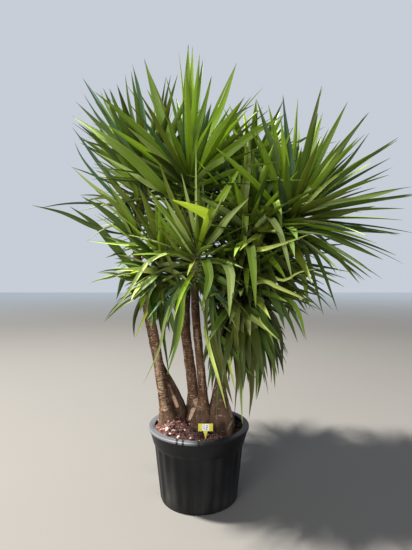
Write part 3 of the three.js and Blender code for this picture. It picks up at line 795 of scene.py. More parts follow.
# %% Lines of the canes
CANES = {
    "stem_left_front": {
        "line": [(-0.200, -0.008, 0.435), (-0.246, 0.005, 0.720), (-0.284, 0.020, 0.960),
                 (-0.330, 0.036, 1.220), (-0.304, 0.044, 1.380), (-0.245, 0.048, 1.503)],
        "head": 0.66, "foot": 0.064, "waist": 0.036, "tip": 0.027, "flare": 0.100,
    },
    "stem_left_back": {
        "line": [(-0.138, 0.108, 0.435), (-0.150, 0.110, 0.540), (-0.205, 0.114, 0.677),
                 (-0.264, 0.119, 0.790), (-0.300, 0.125, 0.905), (-0.372, 0.135, 1.258),
                 (-0.430, 0.145, 1.560), (-0.428, 0.150, 1.790), (-0.369, 0.150, 1.977)],
        "head": 0.8, "foot": 0.066, "waist": 0.034, "tip": 0.027, "flare": 0.240,
    },
    "stem_middle_back": {
        "line": [(-0.040, 0.128, 0.435), (-0.045, 0.126, 0.660), (-0.076, 0.116, 0.900),
                 (-0.096, 0.104, 1.080), (-0.092, 0.090, 1.240), (-0.078, 0.050, 1.560),
                 (-0.062, 0.015, 1.780), (-0.059, 0.000, 1.987)],
        "head": 0.83, "foot": 0.070, "waist": 0.038, "tip": 0.028, "flare": 0.110,
    },
    "stem_middle_front": {
        "line": [(0.030, -0.010, 0.435), (0.027, -0.010, 0.640), (0.004, -0.022, 0.900),
                 (-0.020, -0.070, 1.180), (-0.022, -0.135, 1.380), (-0.008, -0.190, 1.533)],
        "head": 0.76, "foot": 0.086, "waist": 0.031, "tip": 0.025, "flare": 0.120,
    },
    "stem_right": {
        "line": [(0.145, -0.045, 0.435), (0.134, -0.037, 0.620), (0.142, -0.026, 0.820),
                 (0.165, -0.020, 0.980), (0.176, -0.016, 1.140)],
        "head": 1.0, "foot": 0.092, "waist": 0.024, "tip": 0.023, "flare": 0.230,
    },
    "bough_right": {
        "line": [(0.176, -0.016, 1.140), (0.236, 0.004, 1.290), (0.362, 0.012, 1.480),
                 (0.478, -0.016, 1.625), (0.566, -0.050, 1.771)],
        "head": 0.72, "foot": 0.023, "waist": 0.023, "tip": 0.023, "flare": 0.001,
    },
    "bough_back_right": {
        "line": [(0.172, -0.018, 1.060), (0.196, 0.050, 1.230), (0.290, 0.190, 1.540),
                 (0.352, 0.300, 1.850), (0.380, 0.350, 2.121)],
        "head": 0.74, "foot": 0.022, "waist": 0.022, "tip": 0.022, "flare": 0.001,
    },
    "bough_low_right": {
        "line": [(0.160, -0.020, 0.930), (0.214, -0.062, 1.040), (0.256, -0.110, 1.190),
                 (0.282, -0.130, 1.371)],
        "head": 0.62, "foot": 0.020, "waist": 0.020, "tip": 0.020, "flare": 0.001,
    },
    "bough_middle_right": {
        "line": [(0.166, -0.018, 1.000), (0.232, 0.064, 1.110), (0.356, 0.128, 1.270),
                 (0.440, 0.150, 1.400), (0.486, 0.152, 1.530)],
        "head": 0.66, "foot": 0.021, "waist": 0.021, "tip": 0.020, "flare": 0.001,
    },
    "bough_back": {
        "line": [(-0.086, 0.112, 0.980), (-0.090, 0.220, 1.130), (-0.112, 0.380, 1.400),
                 (-0.124, 0.460, 1.650), (-0.126, 0.500, 1.850)],
        "head": 0.76, "foot": 0.024, "waist": 0.024, "tip": 0.023, "flare": 0.001,
    },
    "bough_middle": {
        "line": [(0.172, -0.020, 1.085), (0.196, -0.034, 1.220), (0.238, -0.052, 1.400),
                 (0.284, -0.084, 1.560), (0.312, -0.110, 1.690)],
        "head": 0.7, "foot": 0.021, "waist": 0.021, "tip": 0.020, "flare": 0.001,
    },
}
UP = np.array([0.0, 0.0, 1.0])


def on_line(line, share):
    """Points on the smooth line through the given points, at shares of its spans."""
    line = np.asarray(line, float)
    share = np.atleast_1d(share)
    spans = len(line) - 1
    i = np.minimum(spans - 1, np.floor(share * spans).astype(int))
    t = (share * spans - i)[:, None]
    more = np.vstack([2 * line[0] - line[1], line, 2 * line[-1] - line[-2]])
    a, b, c, d = more[i], more[i + 1], more[i + 2], more[i + 3]
    return 0.5 * (2 * b + (c - a) * t + (2 * a - 5 * b + 4 * c - d) * t**2 + (3 * b - a - 3 * c + d) * t**3)


def along_line(line, share):
    """The way the line runs at shares of its spans."""
    step = 0.002
    share = np.atleast_1d(share)
    return unit(on_line(line, np.minimum(1, share + step)) - on_line(line, np.maximum(0, share - step)))


def swelling(cane, height):
    """How swollen a cane is at a height over its foot, from 1 at the foot to 0 up the cane."""
    return np.exp(-((height / cane["flare"]) ** 2))


def cane_radius(cane, share, height):
    """The radius at a share of the line and a height over the foot, before any bark."""
    plain = between(cane["waist"], cane["tip"], np.minimum(1, share / cane["head"]))
    return plain + (cane["foot"] - cane["waist"]) * swelling(cane, height)


print(len(CANES), "canes, the tallest to", max(cane["line"][-1][2] for cane in CANES.values()), "m")

# %% [markdown]
# Where bark has worn away it shows pale wood. Those places are part of what makes this plant itself, so each
# is a short streak between two pixels of the photograph, with its half width in pixels and how bare it is.
# The two streaks on the left front cane are painted sunlight instead, a lit strip down the cane painted pale.
# Only the side of the cane that faces the camera takes it.

# %% Worn places
BARK_SIDES = 56
WORN_AND_SUNLIT_EDGE = 1.6
WORN_AND_SUNLIT = [
    # Painted sunlight: the lit strip down the left front cane.
    ("stem_left_front", (156.5, 352), (160.0, 382), 3.0, 1),
    ("stem_left_front", (160.0, 382), (165.0, 409), 3.2, 1),
    ("stem_left_back", (169.0, 384), (173.5, 397), 1.2, 1),
    ("stem_left_back", (173.5, 397), (177.0, 406), 2.0, 1.25),
    ("stem_middle_back", (194.0, 411), (191.5, 420), 3.4, 1.6),
    ("stem_middle_back", (196.0, 401), (199.0, 406), 3.2, 1.6),
    ("stem_middle_back", (184.0, 350), (186.0, 372), 1.2, 1),
    ("stem_middle_front", (196.5, 330), (199.0, 352), 1.6, 1),
    ("stem_middle_front", (201.0, 362), (203.0, 392), 1.4, 1),
    ("stem_right", (229.0, 402), (231.5, 416), 1.6, 1),
    ("stem_right", (232.0, 421), (228.0, 429), 1.2, 1),
]


def worn_and_sunlit_at(name, points):
    """The paleness of a cane's points from wear and a painted sunlit strip, 0 for none. The last point is its
    tip.
    """
    right, down = pixels_of(points)
    centre = points[:-1].reshape(-1, BARK_SIDES, 3).mean(1)
    front = np.append(points[:-1, 1] < np.repeat(centre[:, 1], BARK_SIDES), False)
    worn_and_sunlit = np.zeros(len(points))
    for cane, start, end, width, bare in WORN_AND_SUNLIT:
        if cane == name:
            run = np.subtract(end, start)
            share = np.clip(((right - start[0]) * run[0] + (down - start[1]) * run[1]) / (run @ run), 0, 1)
            away = np.hypot(right - start[0] - share * run[0], down - start[1] - share * run[1])
            worn_and_sunlit = np.maximum(worn_and_sunlit, smooth(WORN_AND_SUNLIT_EDGE - away / width) * front * bare)
    return worn_and_sunlit


print(len(WORN_AND_SUNLIT), "worn places on", len({name for name, *_ in WORN_AND_SUNLIT}), "canes")

# %% [markdown]
# The bark is real relief, not a bump map, because it shows in the outline of a cane seen against the light.
# Going up, the surface swells slowly and then drops at each scar, like stacked cups. A little noise makes the
# rings wander, lean and merge. Towards the foot the rings fade, and long wrinkles that run upwards take over.
# The depth of each groove is stored on the points, so that the finish can paint shade into the same places.
# Each noise is given by the length of its cells along the cane, their number round it, a seed and a shift.

# %% Bark relief
BARK = {
    "step": 0.0042,
    "ring": 0.0160,
    "ring_rise": 0.72,
    "ring_drop": 0.28,
    "ring_depth": 0.0034,
    "usual": 0.034,
    "wrinkle": 0.0050,
    "lumps": 0.0016,
    "sunk": 0.022,
    "lobes": 0.07,
    "swell": 1.12,
    "point": 0.105,
    "stub": 0.012,
}
LOBES, LOBE_TURN = 3, 1000
CLOSE_STEPS = 1200
BARK_NOISE = {
    "wander": (0.05, 4, 40),
    "jitter": (0.016, 9, 60),
    "whole": (0.022, 7, 30),
    "wrinkles": (0.16, 13, 80, 2),
    "fine_wrinkles": (0.055, 37, 90, 5),
    "lumps": (0.05, 6, 20),
}


def cane_rows(cane):
    """Evenly spaced shares of a cane's line, with the length up to each."""
    dense = np.linspace(0, 1, CLOSE_STEPS)
    points = on_line(cane["line"], dense)
    run = np.concatenate([[0], np.cumsum(np.linalg.norm(np.diff(points, axis=0), axis=1))])
    rows = int(run[-1] / BARK["step"])
    even = np.linspace(0, run[-1], rows)
    return np.interp(even, run, dense), even


def bark_relief(turns, runs, stand, radius, order):
    """How far the bark stands out and the painted shade of its grooves, over turns round a cane and runs along
    it.
    """

    def noise(kind):
        length, cells, seed, *shift = BARK_NOISE[kind]
        return wrapped_noise(turns, runs / length + sum(shift), cells, seed + order)

    wander = noise("wander") + 0.6 * noise("jitter")
    uneven = wrapped_noise(turns * 0, runs / 0.07, 1, 70 + order)
    climb = turns * (1 if order % 2 else -1)
    within = (runs / BARK["ring"] + 0.75 * wander + 1.1 * uneven + climb) % 1
    ring = smooth(within / BARK["ring_rise"]) * (1 - smooth((within - BARK["ring_rise"]) / BARK["ring_drop"]))
    whole = smooth(0.45 + 0.9 * noise("whole"))
    ring = between(0.62, ring, between(0.25, 1, whole))
    fade = 1 - smooth(stand * 2.2)
    wrinkled = smooth(stand * 1.8)
    wrinkle = -np.abs(noise("wrinkles")) * 1.2 - 0.6 * np.abs(noise("fine_wrinkles"))
    relief = BARK["ring_depth"] * (ring - 0.6) * fade * (radius / BARK["usual"])
    relief = relief + BARK["wrinkle"] * (wrinkle + 0.4) * wrinkled + BARK["lumps"] * noise("lumps")
    return relief, np.maximum((1 - ring) * fade, smooth(-wrinkle - 0.3) * wrinkled)


def whole_radius(cane, share, height, stand, angle):
    """The radius round each ring before its bark: tapered, swollen in its head and lobed at its foot."""
    radius = cane_radius(cane, share, height)[:, None]
    if cane["head"] < 1:
        in_head = smooth((share[:, None] - cane["head"]) / (1 - cane["head"]))
        radius = radius * (1 + (BARK["swell"] - 1) * np.sin(np.pi * in_head))
    return radius * (1 + BARK["lobes"] * stand * np.cos(LOBES * angle + LOBE_TURN * cane["foot"]))


def cane_mesh(name, order):
    """Points, faces and stored numbers of one cane from the soil to the growing point of its head."""
    cane = CANES[name]
    from_soil = name.startswith("stem")
    share, run = cane_rows(cane)
    centre = on_line(cane["line"], share)
    height = centre[:, 2] - cane["line"][0][2]
    stand = swelling(cane, height)[:, None] if from_soil else np.zeros((len(share), 1))
    way = unit(along_line(cane["line"], share) * (1 - stand) + UP * stand)
    across = unit(np.cross([0, 1, 0], way))
    over = np.cross(way, across)
    turn = np.arange(BARK_SIDES) / BARK_SIDES
    angle = 2 * np.pi * turn
    radius = whole_radius(cane, share, height, stand, angle)
    turns = np.broadcast_to(turn, (len(share), BARK_SIDES))
    runs = np.broadcast_to(run[:, None], turns.shape)
    relief, dark = bark_relief(turns, runs, stand, radius, order)
    if from_soil:
        centre[0, 2] -= BARK["sunk"]
    points = centre[:, None] + (radius + relief)[..., None] * (
        np.cos(angle)[None, :, None] * across[:, None] + np.sin(angle)[None, :, None] * over[:, None]
    )
    top = centre[-1] + way[-1] * (BARK["point"] if cane["head"] < 1 else BARK["stub"])
    points = np.vstack([points.reshape(-1, 3), top])
    faces = grid_faces(len(share), BARK_SIDES).tolist()
    last = len(points) - 1
    rim = last - BARK_SIDES
    faces += [(rim + k, rim + (k + 1) % BARK_SIDES, last) for k in range(BARK_SIDES)]
    faces.append(tuple(range(BARK_SIDES))[::-1])
    grown = np.broadcast_to(np.clip(share / cane["head"], 0, 2)[:, None], turns.shape)
    low = np.broadcast_to(stand, turns.shape)
    # groove tells the finish how much painted shade to put into each groove.
    numbers = {"groove": np.append(dark, 0), "grown": np.append(grown, 2), "low": np.append(low, 0)}
    return points, faces, numbers | {"worn_and_sunlit": worn_and_sunlit_at(name, points)}


print("scars", 1000 * BARK["ring"], "mm apart, and", 1000 * BARK["ring_depth"], "mm deep")

# %% [markdown]
# The finish reads those stored numbers. The grooves get painted shade, the swollen foot is grey-brown, the
# ringed part is brown and tan, and the last stretch below the leaves is still green-brown. Old cork flakes off
# in patches, which leaves lighter tan ones.


# %% Bark finish
def bark():
    """Brown ringed bark above, grey-brown cork foot, green-brown below the leaves, pale where worn and painted
    sunlit.
    """
    skin = Finish("cane_bark", Roughness=0.85, Specular_IOR_Level=0.2)
    groove = skin.value("groove")
    grown = skin.value("grown")
    low = skin.value("low")
    patch = skin.noise(13, 5, skin.stretched(1, 1, 0.45))
    blotch = skin.noise(34, 4)
    fleck = skin.noise(210, 3, skin.stretched(1, 1, 2.2))
    chip = skin.noise(62, 5, skin.stretched(1, 1, 1.6))
    ringed = skin.mix(patch.ramp(0.42, 0.62), (0.084, 0.036, 0.018), (0.172, 0.084, 0.043))
    ringed = skin.mix(blotch.ramp(0.54, 0.68) * 0.50, ringed, (0.32, 0.21, 0.145))
    ringed = skin.mix(chip.ramp(0.57, 0.65) * 0.75, ringed, (0.50, 0.40, 0.29))
    aged = skin.mix(patch.ramp(0.35, 0.65), (0.056, 0.030, 0.018), (0.108, 0.063, 0.038))
    aged = skin.mix(blotch.ramp(0.56, 0.72) * 0.5, aged, (0.22, 0.155, 0.108))
    aged = skin.mix(chip.ramp(0.61, 0.68) * 0.6, aged, (0.40, 0.30, 0.22))
    body = skin.mix(low.ramp(0.12, 0.5), ringed, aged)
    green = skin.mix(patch.ramp(0.4, 0.65), (0.16, 0.17, 0.055), (0.25, 0.235, 0.09))
    body = skin.mix(grown.ramp(0.88, 1.06), body, green)
    # pale and bare colour the worn bark and also the painted sunlit strip.
    pale = skin.mix(blotch.ramp(0.42, 0.58), (0.20, 0.115, 0.066), (0.40, 0.280, 0.180))
    bare = skin.mix(fleck.ramp(0.40, 0.60), (0.36, 0.22, 0.14), (0.80, 0.58, 0.44))
    pale = skin.mix((skin.value("worn_and_sunlit") - 0.5 * blotch).ramp(0.8, 1.2), pale, bare)
    ragged = skin.value("worn_and_sunlit") * 1.45 - 0.95 * blotch - 0.90 * fleck
    body = skin.mix(ragged.ramp(0.10, 0.55), body, pale)
    # Painted shade: the bark is darkened in its grooves, by the stored groove depth.
    groove_painted_shade = skin.shade(body, 1.08 - 0.80 * groove)
    flecked = skin.mix(fleck.ramp(0.60, 0.74) * 0.35, groove_painted_shade, (0.07, 0.048, 0.035))
    return skin.paint(flecked, 0.74 + 0.2 * blotch, fleck + blotch, bump=0.55, distance=0.0016)


cane_bark = bark()
for order, cane_name in enumerate(CANES):
    cane_points, cane_faces, stored = cane_mesh(cane_name, order)
    label = "bark_" + cane_name
    piece(label, cane_points, cane_faces, [cane_bark], None, stored, sharp=60, replaced=[cane_name])

# %% [markdown]
# ## The leaf rule
#
# The heads of leaves follow the same rule as the imported solids, so they keep the same outline. Each head has
# a few leaves whose tips set the edge of the crown. The rest sit on a spiral of 137.5 degrees, young and
# upright at the growing point, old and hanging at the base. Here the same rule is carried on to many more,
# narrower leaves.
#
# For each head, cane is what it sits on and leaf its longest reach in metres. flat and hang are the shares
# of that reach for level and hanging leaves, count is how many leaves the spiral tries, and low is how many
# degrees it goes down from upright. slim narrows the leaves, aged is the youngest that any of them counts
# as, which deals the darker tints of old leaves to heads that sit in shade as painted shade, folds the chance
# that one folds over, roll how far one may roll, and tries the lengths that one may have. fan and skirt add
# leaves by chance: how many, then the ends of their bearings, rises and reaches. The skirt's leaves count as
# old and take mostly painted shade. outline gives the tips at the edge of the crown, each with its bearing,
# rise and reach and, at the front, its tint and width.

# %% Heads of leaves
HEADS = {
    "head_top": {
        "cane": "stem_middle_back", "leaf": 0.86, "flat": 0.9, "hang": 0.8, "count": 88, "low": 96,
        "slim": 1.12,
        "outline": [(107, 87, 0.990, "green", 0.056), (-120, 81, 0.850, "pale", 0.020),
                    (61, 79, 0.940, "teal", 0.038), (-170, 70, 0.870, "olive", 0.044),
                    (-19, 68, 0.830, "fresh", 0.038), (11, 55, 0.880, "fresh", 0.034),
                    (-62, 65, 0.680, "olive", 0.040), (-124, 69, 0.690, "deep", 0.030)],
    },
    "head_left": {
        "cane": "stem_left_back", "leaf": 0.88, "flat": 0.74, "hang": 0.8, "count": 72, "low": 70,
        "slim": 1.1, "upright": (-0.45, 0.0, 0.89), "fan": (16, (145, 215), (24, 66), (0.42, 0.74)),
        "tries": (1, 0.88), "aged": 0.86,
        "outline": [(-128, 82, 0.860, "teal", 0.034), (-136, 66, 0.710, "deep", 0.030),
                    (168, 61, 0.990, "teal", 0.036), (140, 59, 1.020, "teal", 0.030),
                    (157, 43, 0.890, "deep", 0.026), (-162, 18, 0.520, "deep", 0.036),
                    (173, -5, 0.780, "teal", 0.036), (-144, -39, 0.540, "shade", 0.022)],
    },
    "head_right": {
        "cane": "bough_right", "leaf": 0.84, "flat": 0.94, "hang": 0.72, "count": 116, "low": 122,
        "slim": 1.0,
        "outline": [(14, 74, 0.930, "olive", 0.046), (-83, 74, 0.740, "green", 0.030),
                    (86, 78, 0.930, "teal", 0.034), (-19, 63, 0.810, "pale", 0.046),
                    (14, 52, 0.970, "teal", 0.030), (-13, 36, 0.810, "deep", 0.038),
                    (7, 16, 0.910, "olive", 0.034), (-7, -6, 0.780, "deep", 0.036),
                    (13, -17, 0.920, "green", 0.034), (-33, -39, 0.590, "deep", 0.040)],
    },
    "head_back_right": {
        "cane": "bough_back_right", "leaf": 0.66, "flat": 1.05, "hang": 0.9, "count": 92, "low": 116,
        "outline": [(60, 80, 0.660), (38, 62, 0.690), (-20, 51, 0.470), (116, 65, 0.790)],
    },
    "head_front": {
        "cane": "stem_middle_front", "leaf": 0.56, "flat": 1.0, "hang": 1.0, "count": 66, "low": 150,
        "aged": 0.6, "slim": 0.56, "folds": 0.04, "roll": 34,
        "skirt": (52, (-75, 80), (-80, -20), (0.26, 0.56)),
        "outline": [(-160, 52, 0.470), (-137, 50, 0.460), (9, 50, 0.480), (-35, 59, 0.510)],
    },
    "head_low_left": {
        "cane": "stem_left_front", "leaf": 0.58, "flat": 0.95, "hang": 1.0, "count": 116, "low": 155,
        "folds": 0.06, "roll": 55, "aged": 0.6,
        "outline": [(-159, -8, 0.430, "olive", 0.024), (169, -14, 0.540, "deep", 0.028),
                    (-165, -45, 0.530, "olive", 0.022), (-126, -30, 0.430, "green", 0.030),
                    (154, -66, 0.560, "shade", 0.030), (-76, -66, 0.750, "deep", 0.036)],
    },
    "head_low_right": {
        "cane": "bough_low_right", "leaf": 0.56, "flat": 0.9, "hang": 1.4, "count": 150, "low": 172,
        "aged": 1.1, "folds": 0.04, "roll": 40, "skirt": (110, (-180, 180), (-90, -46), (0.34, 0.62)),
        "outline": [(-73, -37, 0.520, "deep", 0.044), (-100, -83, 0.850, "pale", 0.024),
                    (63, -82, 0.770, "shade", 0.034), (-49, -73, 0.670, "olive", 0.036),
                    (-125, -67, 0.800, "shade", 0.032)],
    },
    "head_middle_right": {
        "cane": "bough_middle_right", "leaf": 0.56, "flat": 1.02, "hang": 1.0, "count": 96, "low": 150,
        "folds": 0.06, "roll": 40, "skirt": (36, (120, 240), (-80, -30), (0.34, 0.55)),
        "outline": [(8, -37, 0.580), (14, -12, 0.620), (-12, -66, 0.590), (-30, -48, 0.400)],
    },
    "head_back": {
        "cane": "bough_back", "leaf": 0.80, "flat": 0.9, "hang": 0.8, "count": 96, "low": 124,
        "outline": [],
    },
    "head_middle": {
        "cane": "bough_middle", "leaf": 0.64, "flat": 0.8, "hang": 0.9, "count": 104, "low": 135,
        "folds": 0.08, "roll": 36, "skirt": (60, (-180, 180), (-86, -36), (0.36, 0.62)),
        "outline": [(0, 67, 0.730), (-100, 84, 0.620), (160, 66, 0.500)],
    },
}
print(len(HEADS), "heads with", sum(len(head["outline"]) for head in HEADS.values()), "leaves on the outline")

# %% [markdown]
# A leaf is first only a line, from its root on the core of the head to its tip. Most lines bow evenly under
# their own weight. Some old leaves break at a knee instead and hang straight down from it, and that is worth
# a line of its own, because the knee catches the light.

# %% The middle line of a leaf
LEAF = {
    "youngest": 0.8,
    "top_lean": 9,
    "stand": 0.6,
    "turn": 137.508,
    "lean_off": 7,
    "turn_off": 9,
    "shortest": 0.82,
    "apart": 5.4,
    "fold_below": 45,
    "roll": 24,
    "lowest": 0.50,
    "clear": 0.016,
    "tries": (1, 0.85, 0.7, 0.55, 0.42),
    "lean_power": 0.8,
    "lengthens": 1.6,
}
SEAT = {"low": 0.24, "high": 1.5, "reach": 0.110}
SAG = {"upright": 0.015, "level": 0.085, "least": 0.6, "most": 1.4}
FOLD = {"from": 0.45, "over": 0.2, "lean": 0.1, "more_lean": 0.3}
KNEE = 0.070
KNEE_LIFT = 0.05


def core_of(head):
    """Where a head's core starts, its heart and its way."""
    cane = CANES[head["cane"]]
    heart, way = on_line(cane["line"], 1)[0], along_line(cane["line"], 1)[0]
    return {
        "cane": cane,
        "heart": heart,
        "way": way,
        "roll": head.get("roll", LEAF["roll"]),
        "tries": head.get("tries", LEAF["tries"]),
    }


def on_core(core, seat):
    """A place on a core's middle line, from its base at 0 to its heart at 1 and on above."""
    cane = core["cane"]
    if seat < 1:
        return on_line(cane["line"], between(cane["head"], 1, seat))[0]
    return core["heart"] + core["way"] * (seat - 1) * SEAT["reach"]


def arc(root, tip, lift):
    """The middle line of a leaf that bows evenly from root to tip."""
    bow = (root + tip) / 2 + lift

    def line(t):
        t = np.asarray(t)[:, None]
        return (1 - t) ** 2 * root + 2 * t * (1 - t) * bow + t * t * tip

    return line


def folded(root, tip, at, lean):
    """The middle line of a leaf that folds at a knee and hangs from it."""
    whole = np.linalg.norm(tip - root)
    knee = root + (tip - root) * at + UP * whole * KNEE_LIFT
    out = unit(np.array([tip[0] - root[0], tip[1] - root[1], 0]))
    end = knee + out * whole * (1 - at) * lean - UP * whole * (1 - at)

    def line(t):
        t = np.asarray(t)[:, None]
        rise = root + (knee - root) * np.minimum(t, at) / at
        fall = (end - knee) * np.maximum(t - at, 0) / (1 - at)
        round_off = np.maximum(0, 1 - np.abs(t - at) / KNEE) ** 2 * KNEE / 4
        return rise + fall - round_off * (unit(knee - root) - unit(end - knee)) * whole

    return line


def draw_leaf(stream):
    """The five random numbers of one leaf, in the order of the part's source."""
    return {key: next(stream) for key in ("sag", "roll", "chance", "where", "lean")}


def planned_leaf(core, bearing, rise, reach, draw, fold_chance=0):
    """One leaf of a head, from the bearing, rise and reach of its tip from the heart."""
    b, e = math.radians(bearing), math.radians(rise)
    out = np.array([math.cos(b), math.sin(b), 0])
    towards = out * math.cos(e) + UP * math.sin(e)
    height = (1 + towards @ core["way"]) / 2
    root = on_core(core, between(SEAT["low"], SEAT["high"], height))
    tip = core["heart"] + towards * reach
    sag = between(SAG["upright"], SAG["level"], 1 - height) * between(SAG["least"], SAG["most"], draw["sag"])
    lift = (UP * math.cos(e) - out * math.sin(e)) * 2 * sag * reach
    folds = rise < LEAF["fold_below"] and draw["chance"] < fold_chance
    at = FOLD["from"] + FOLD["over"] * draw["where"]
    lean = FOLD["lean"] + FOLD["more_lean"] * draw["lean"]
    return {
        "line": folded(root, tip, at, lean) if folds else arc(root, tip, lift),
        "knee": at if folds else None,
        "side": np.array([-math.sin(b), math.cos(b), 0]),
        "roll": math.radians(between(-core["roll"], core["roll"], draw["roll"])),
        "length": np.linalg.norm(tip - root),
        "towards": towards,
        "height": height,
    }


print("a leaf's line bows, or folds at a knee", FOLD["from"], "of the way along or further")

# %% [markdown]
# A leaf may not grow through a cane. Each candidate is tried along its middle line against every limb, and
# grown shorter or left out, as it is in the solids. The same goes for leaves that would hang over the bare
# lengths of the canes that the photograph shows.

# %% Keeping leaves off the canes
PROBES = 24


def limb_spans():
    """Short straight pieces of every limb below its head, with their radii."""
    starts, ends, radii = [], [], []
    for cane in CANES.values():
        share = np.linspace(0, cane["head"], PROBES + 1)
        at = on_line(cane["line"], share)
        radius = cane_radius(cane, share, at[:, 2] - cane["line"][0][2])
        starts.append(at[:-1])
        ends.append(at[1:])
        radii.append(radius[:-1])
    return np.concatenate(starts), np.concatenate(ends), np.concatenate(radii)


SPAN_START, SPAN_END, SPAN_RADIUS = limb_spans()


def clear_of_limbs(points):
    """The least distance from the points to the surface of any limb."""
    span = SPAN_END - SPAN_START
    away = points[:, None] - SPAN_START
    share = np.clip((away * span).sum(-1) / (span * span).sum(-1), 0, 1)
    gap = np.linalg.norm(away - share[..., None] * span, axis=-1) - SPAN_RADIUS
    return gap.min()


print(len(SPAN_START), "short spans of limb to keep clear of")

# %% [markdown]
# The photograph also shows where no leaf is: the open air round the heads and between the leaves at their
# edge, and the front of the middle canes. Those windows are boxes of pixels, left, top, right and bottom. A
# leaf that would show in one is grown shorter or left out. In front of the canes that holds only up to a
# depth.

# %% Windows between the leaves
ANY_DEPTH = math.inf
CANE_OPENINGS = [(195, 256, 205, 300, -0.14), (188, 300, 203, 372, 0.30)]
EDGE_OPENINGS = [
    (-99, -99, 71, 202), (-99, 212, 84, 276), (71, -99, 124, 73), (134, -99, 143, 84), (152, -99, 162, 98),
    (179, 60, 182, 100), (206, -99, 210, 80), (214, -99, 227, 88), (213, 88, 219, 104), (239, -99, 256, 85),
    (231, 86, 242, 100), (266, -99, 280, 102), (289, 98, 296, 132), (301, -99, 313, 112),
    (301, 112, 307, 135),
    (326, -99, 343, 100), (328, 100, 338, 122), (350, -99, 362, 112), (342, 112, 352, 126),
    (376, -99, 511, 134), (372, 120, 391, 136), (364, 136, 378, 149), (396, 146, 511, 178),
    (366, 287, 511, 440), (345, 319, 511, 440), (310, 344, 511, 440), (286, 368, 511, 440),
    (-99, 290, 101, 440), (-99, 326, 131, 440), (-99, 246, 112, 268), (-99, 287, 116, 440),
    (-99, 303, 137, 440), (137, 345, 149, 440), (104, 276, 112, 440), (289, 322, 304, 440),
    (309, 318, 511, 440), (325, 300, 332, 440),
    (73, 150, 90, 188), (84, 224, 94, 239), (40, 200, 70, 207),
]
OPENINGS = CANE_OPENINGS + [(*box, ANY_DEPTH) for box in EDGE_OPENINGS]
SEEN_FROM = (0.3, 30)
CLEAR_FROM = (0.22, 14)


def shows_in_opening(points):
    """Whether any point is seen in a window, in front of the window's depth."""
    x, y = pixels_of(points)
    return any(
        ((x > left) & (x < right) & (y > top) & (y < bottom) & (points[:, 1] < depth)).any()
        for left, top, right, bottom, depth in OPENINGS
    )


def outer_part(leaf, start, count):
    """Points along a leaf from a share of its length to its tip."""
    return leaf["line"](np.linspace(start, 1, count))


def leaf_fits(leaf):
    """Whether a leaf stays out of the windows, off the limbs and above the pot."""
    if shows_in_opening(outer_part(leaf, *SEEN_FROM)):
        return False
    points = outer_part(leaf, *CLEAR_FROM)
    return points[:, 2].min() > LEAF["lowest"] and clear_of_limbs(points) > LEAF["clear"]


def first_fit(core, bearing, rise, reach, draw, fold_chance=0):
    """The longest try at a leaf that fits, or None."""
    for share in core["tries"]:
        leaf = planned_leaf(core, bearing, rise, reach * share, draw, fold_chance)
        if leaf_fits(leaf):
            return leaf
    return None


print(len(OPENINGS), "windows")

# %% [markdown]
# Now a head can be filled. First come the leaves of its outline, then the spiral, then its fan and skirt. A
# leaf that would lie almost on another is skipped, so that the blades don't pass through each other side by
# side. All chance comes from one stream of numbers for each head, so every run grows the same plant.

# %% The leaves of a head
HEAD_SEED, HEAD_STEP = 4100, 17
OUTLINE_AGE = 0.3
# The skirt counts as old, which deals it mostly painted shade.
ADDED_AGE = {"fan": 0.5, "skirt": 2}


def turned_upright(head, way):
    """The rotation that carries straight up to a head's own upright."""
    upright = head.get("upright", unit(way * (1 - LEAF["stand"]) + UP * LEAF["stand"]))
    return np.array(Vector(UP).rotation_difference(Vector(upright)).to_matrix())


def reach_of(head, rise):
    """How far a leaf that rises by these degrees may reach."""
    share = rise / 90
    if rise > 0:
        return head["leaf"] * between(head["flat"], 1, share)
    return head["leaf"] * between(head["flat"], head["hang"], -share)


def outline_leaves(head, core, stream):
    """The leaves whose tips set the edge of the crown."""
    kept = []
    for bearing, rise, reach, *look in head["outline"]:
        leaf = planned_leaf(core, bearing, rise, reach, draw_leaf(stream))
        kept.append(leaf | {"age": OUTLINE_AGE} | dict(zip(("tint", "width"), look)))
    return kept


def add_spiral(kept, head, core, stream):
    """Adds the leaves of the spiral to the kept ones, as far as they fit and don't lie on another."""
    turned_up = turned_upright(head, core["way"])
    near = math.cos(math.radians(LEAF["apart"]))
    for i in range(head["count"]):
        age = (i + 0.5) / head["count"]
        lean_off = between(-LEAF["lean_off"], LEAF["lean_off"], next(stream))
        lean = math.radians(between(LEAF["top_lean"], head["low"], age ** LEAF["lean_power"]) + lean_off)
        spin = math.radians(LEAF["turn"] * i + between(-LEAF["turn_off"], LEAF["turn_off"], next(stream)))
        level = math.sin(lean)
        towards = turned_up @ np.array([level * math.cos(spin), level * math.sin(spin), math.cos(lean)])
        bearing = math.degrees(math.atan2(towards[1], towards[0]))
        rise = math.degrees(math.asin(towards[2]))
        young = min(1, LEAF["youngest"] + LEAF["lengthens"] * age)
        reach = reach_of(head, rise) * young * between(LEAF["shortest"], 1, next(stream))
        draw = draw_leaf(stream)
        if any(other["towards"] @ towards > near for other in kept):
            continue
        leaf = first_fit(core, bearing, rise, reach, draw, head.get("folds", 0))
        if leaf:
            # Painted shade: aged pushes a head in shade towards the darker tints.
            kept.append(leaf | {"age": max(age, head.get("aged", 0))})


def add_by_chance(kept, head, core, stream):
    """Adds the leaves of the head's fan and of its skirt to the kept ones."""
    for part, age in ADDED_AGE.items():
        count, *spread = head.get(part, (0,))
        for _ in range(count):
            bearing, rise, reach = (between(*ends, next(stream)) for ends in spread)
            leaf = first_fit(core, bearing, rise, reach, draw_leaf(stream))
            if leaf:
                kept.append(leaf | {"age": age})


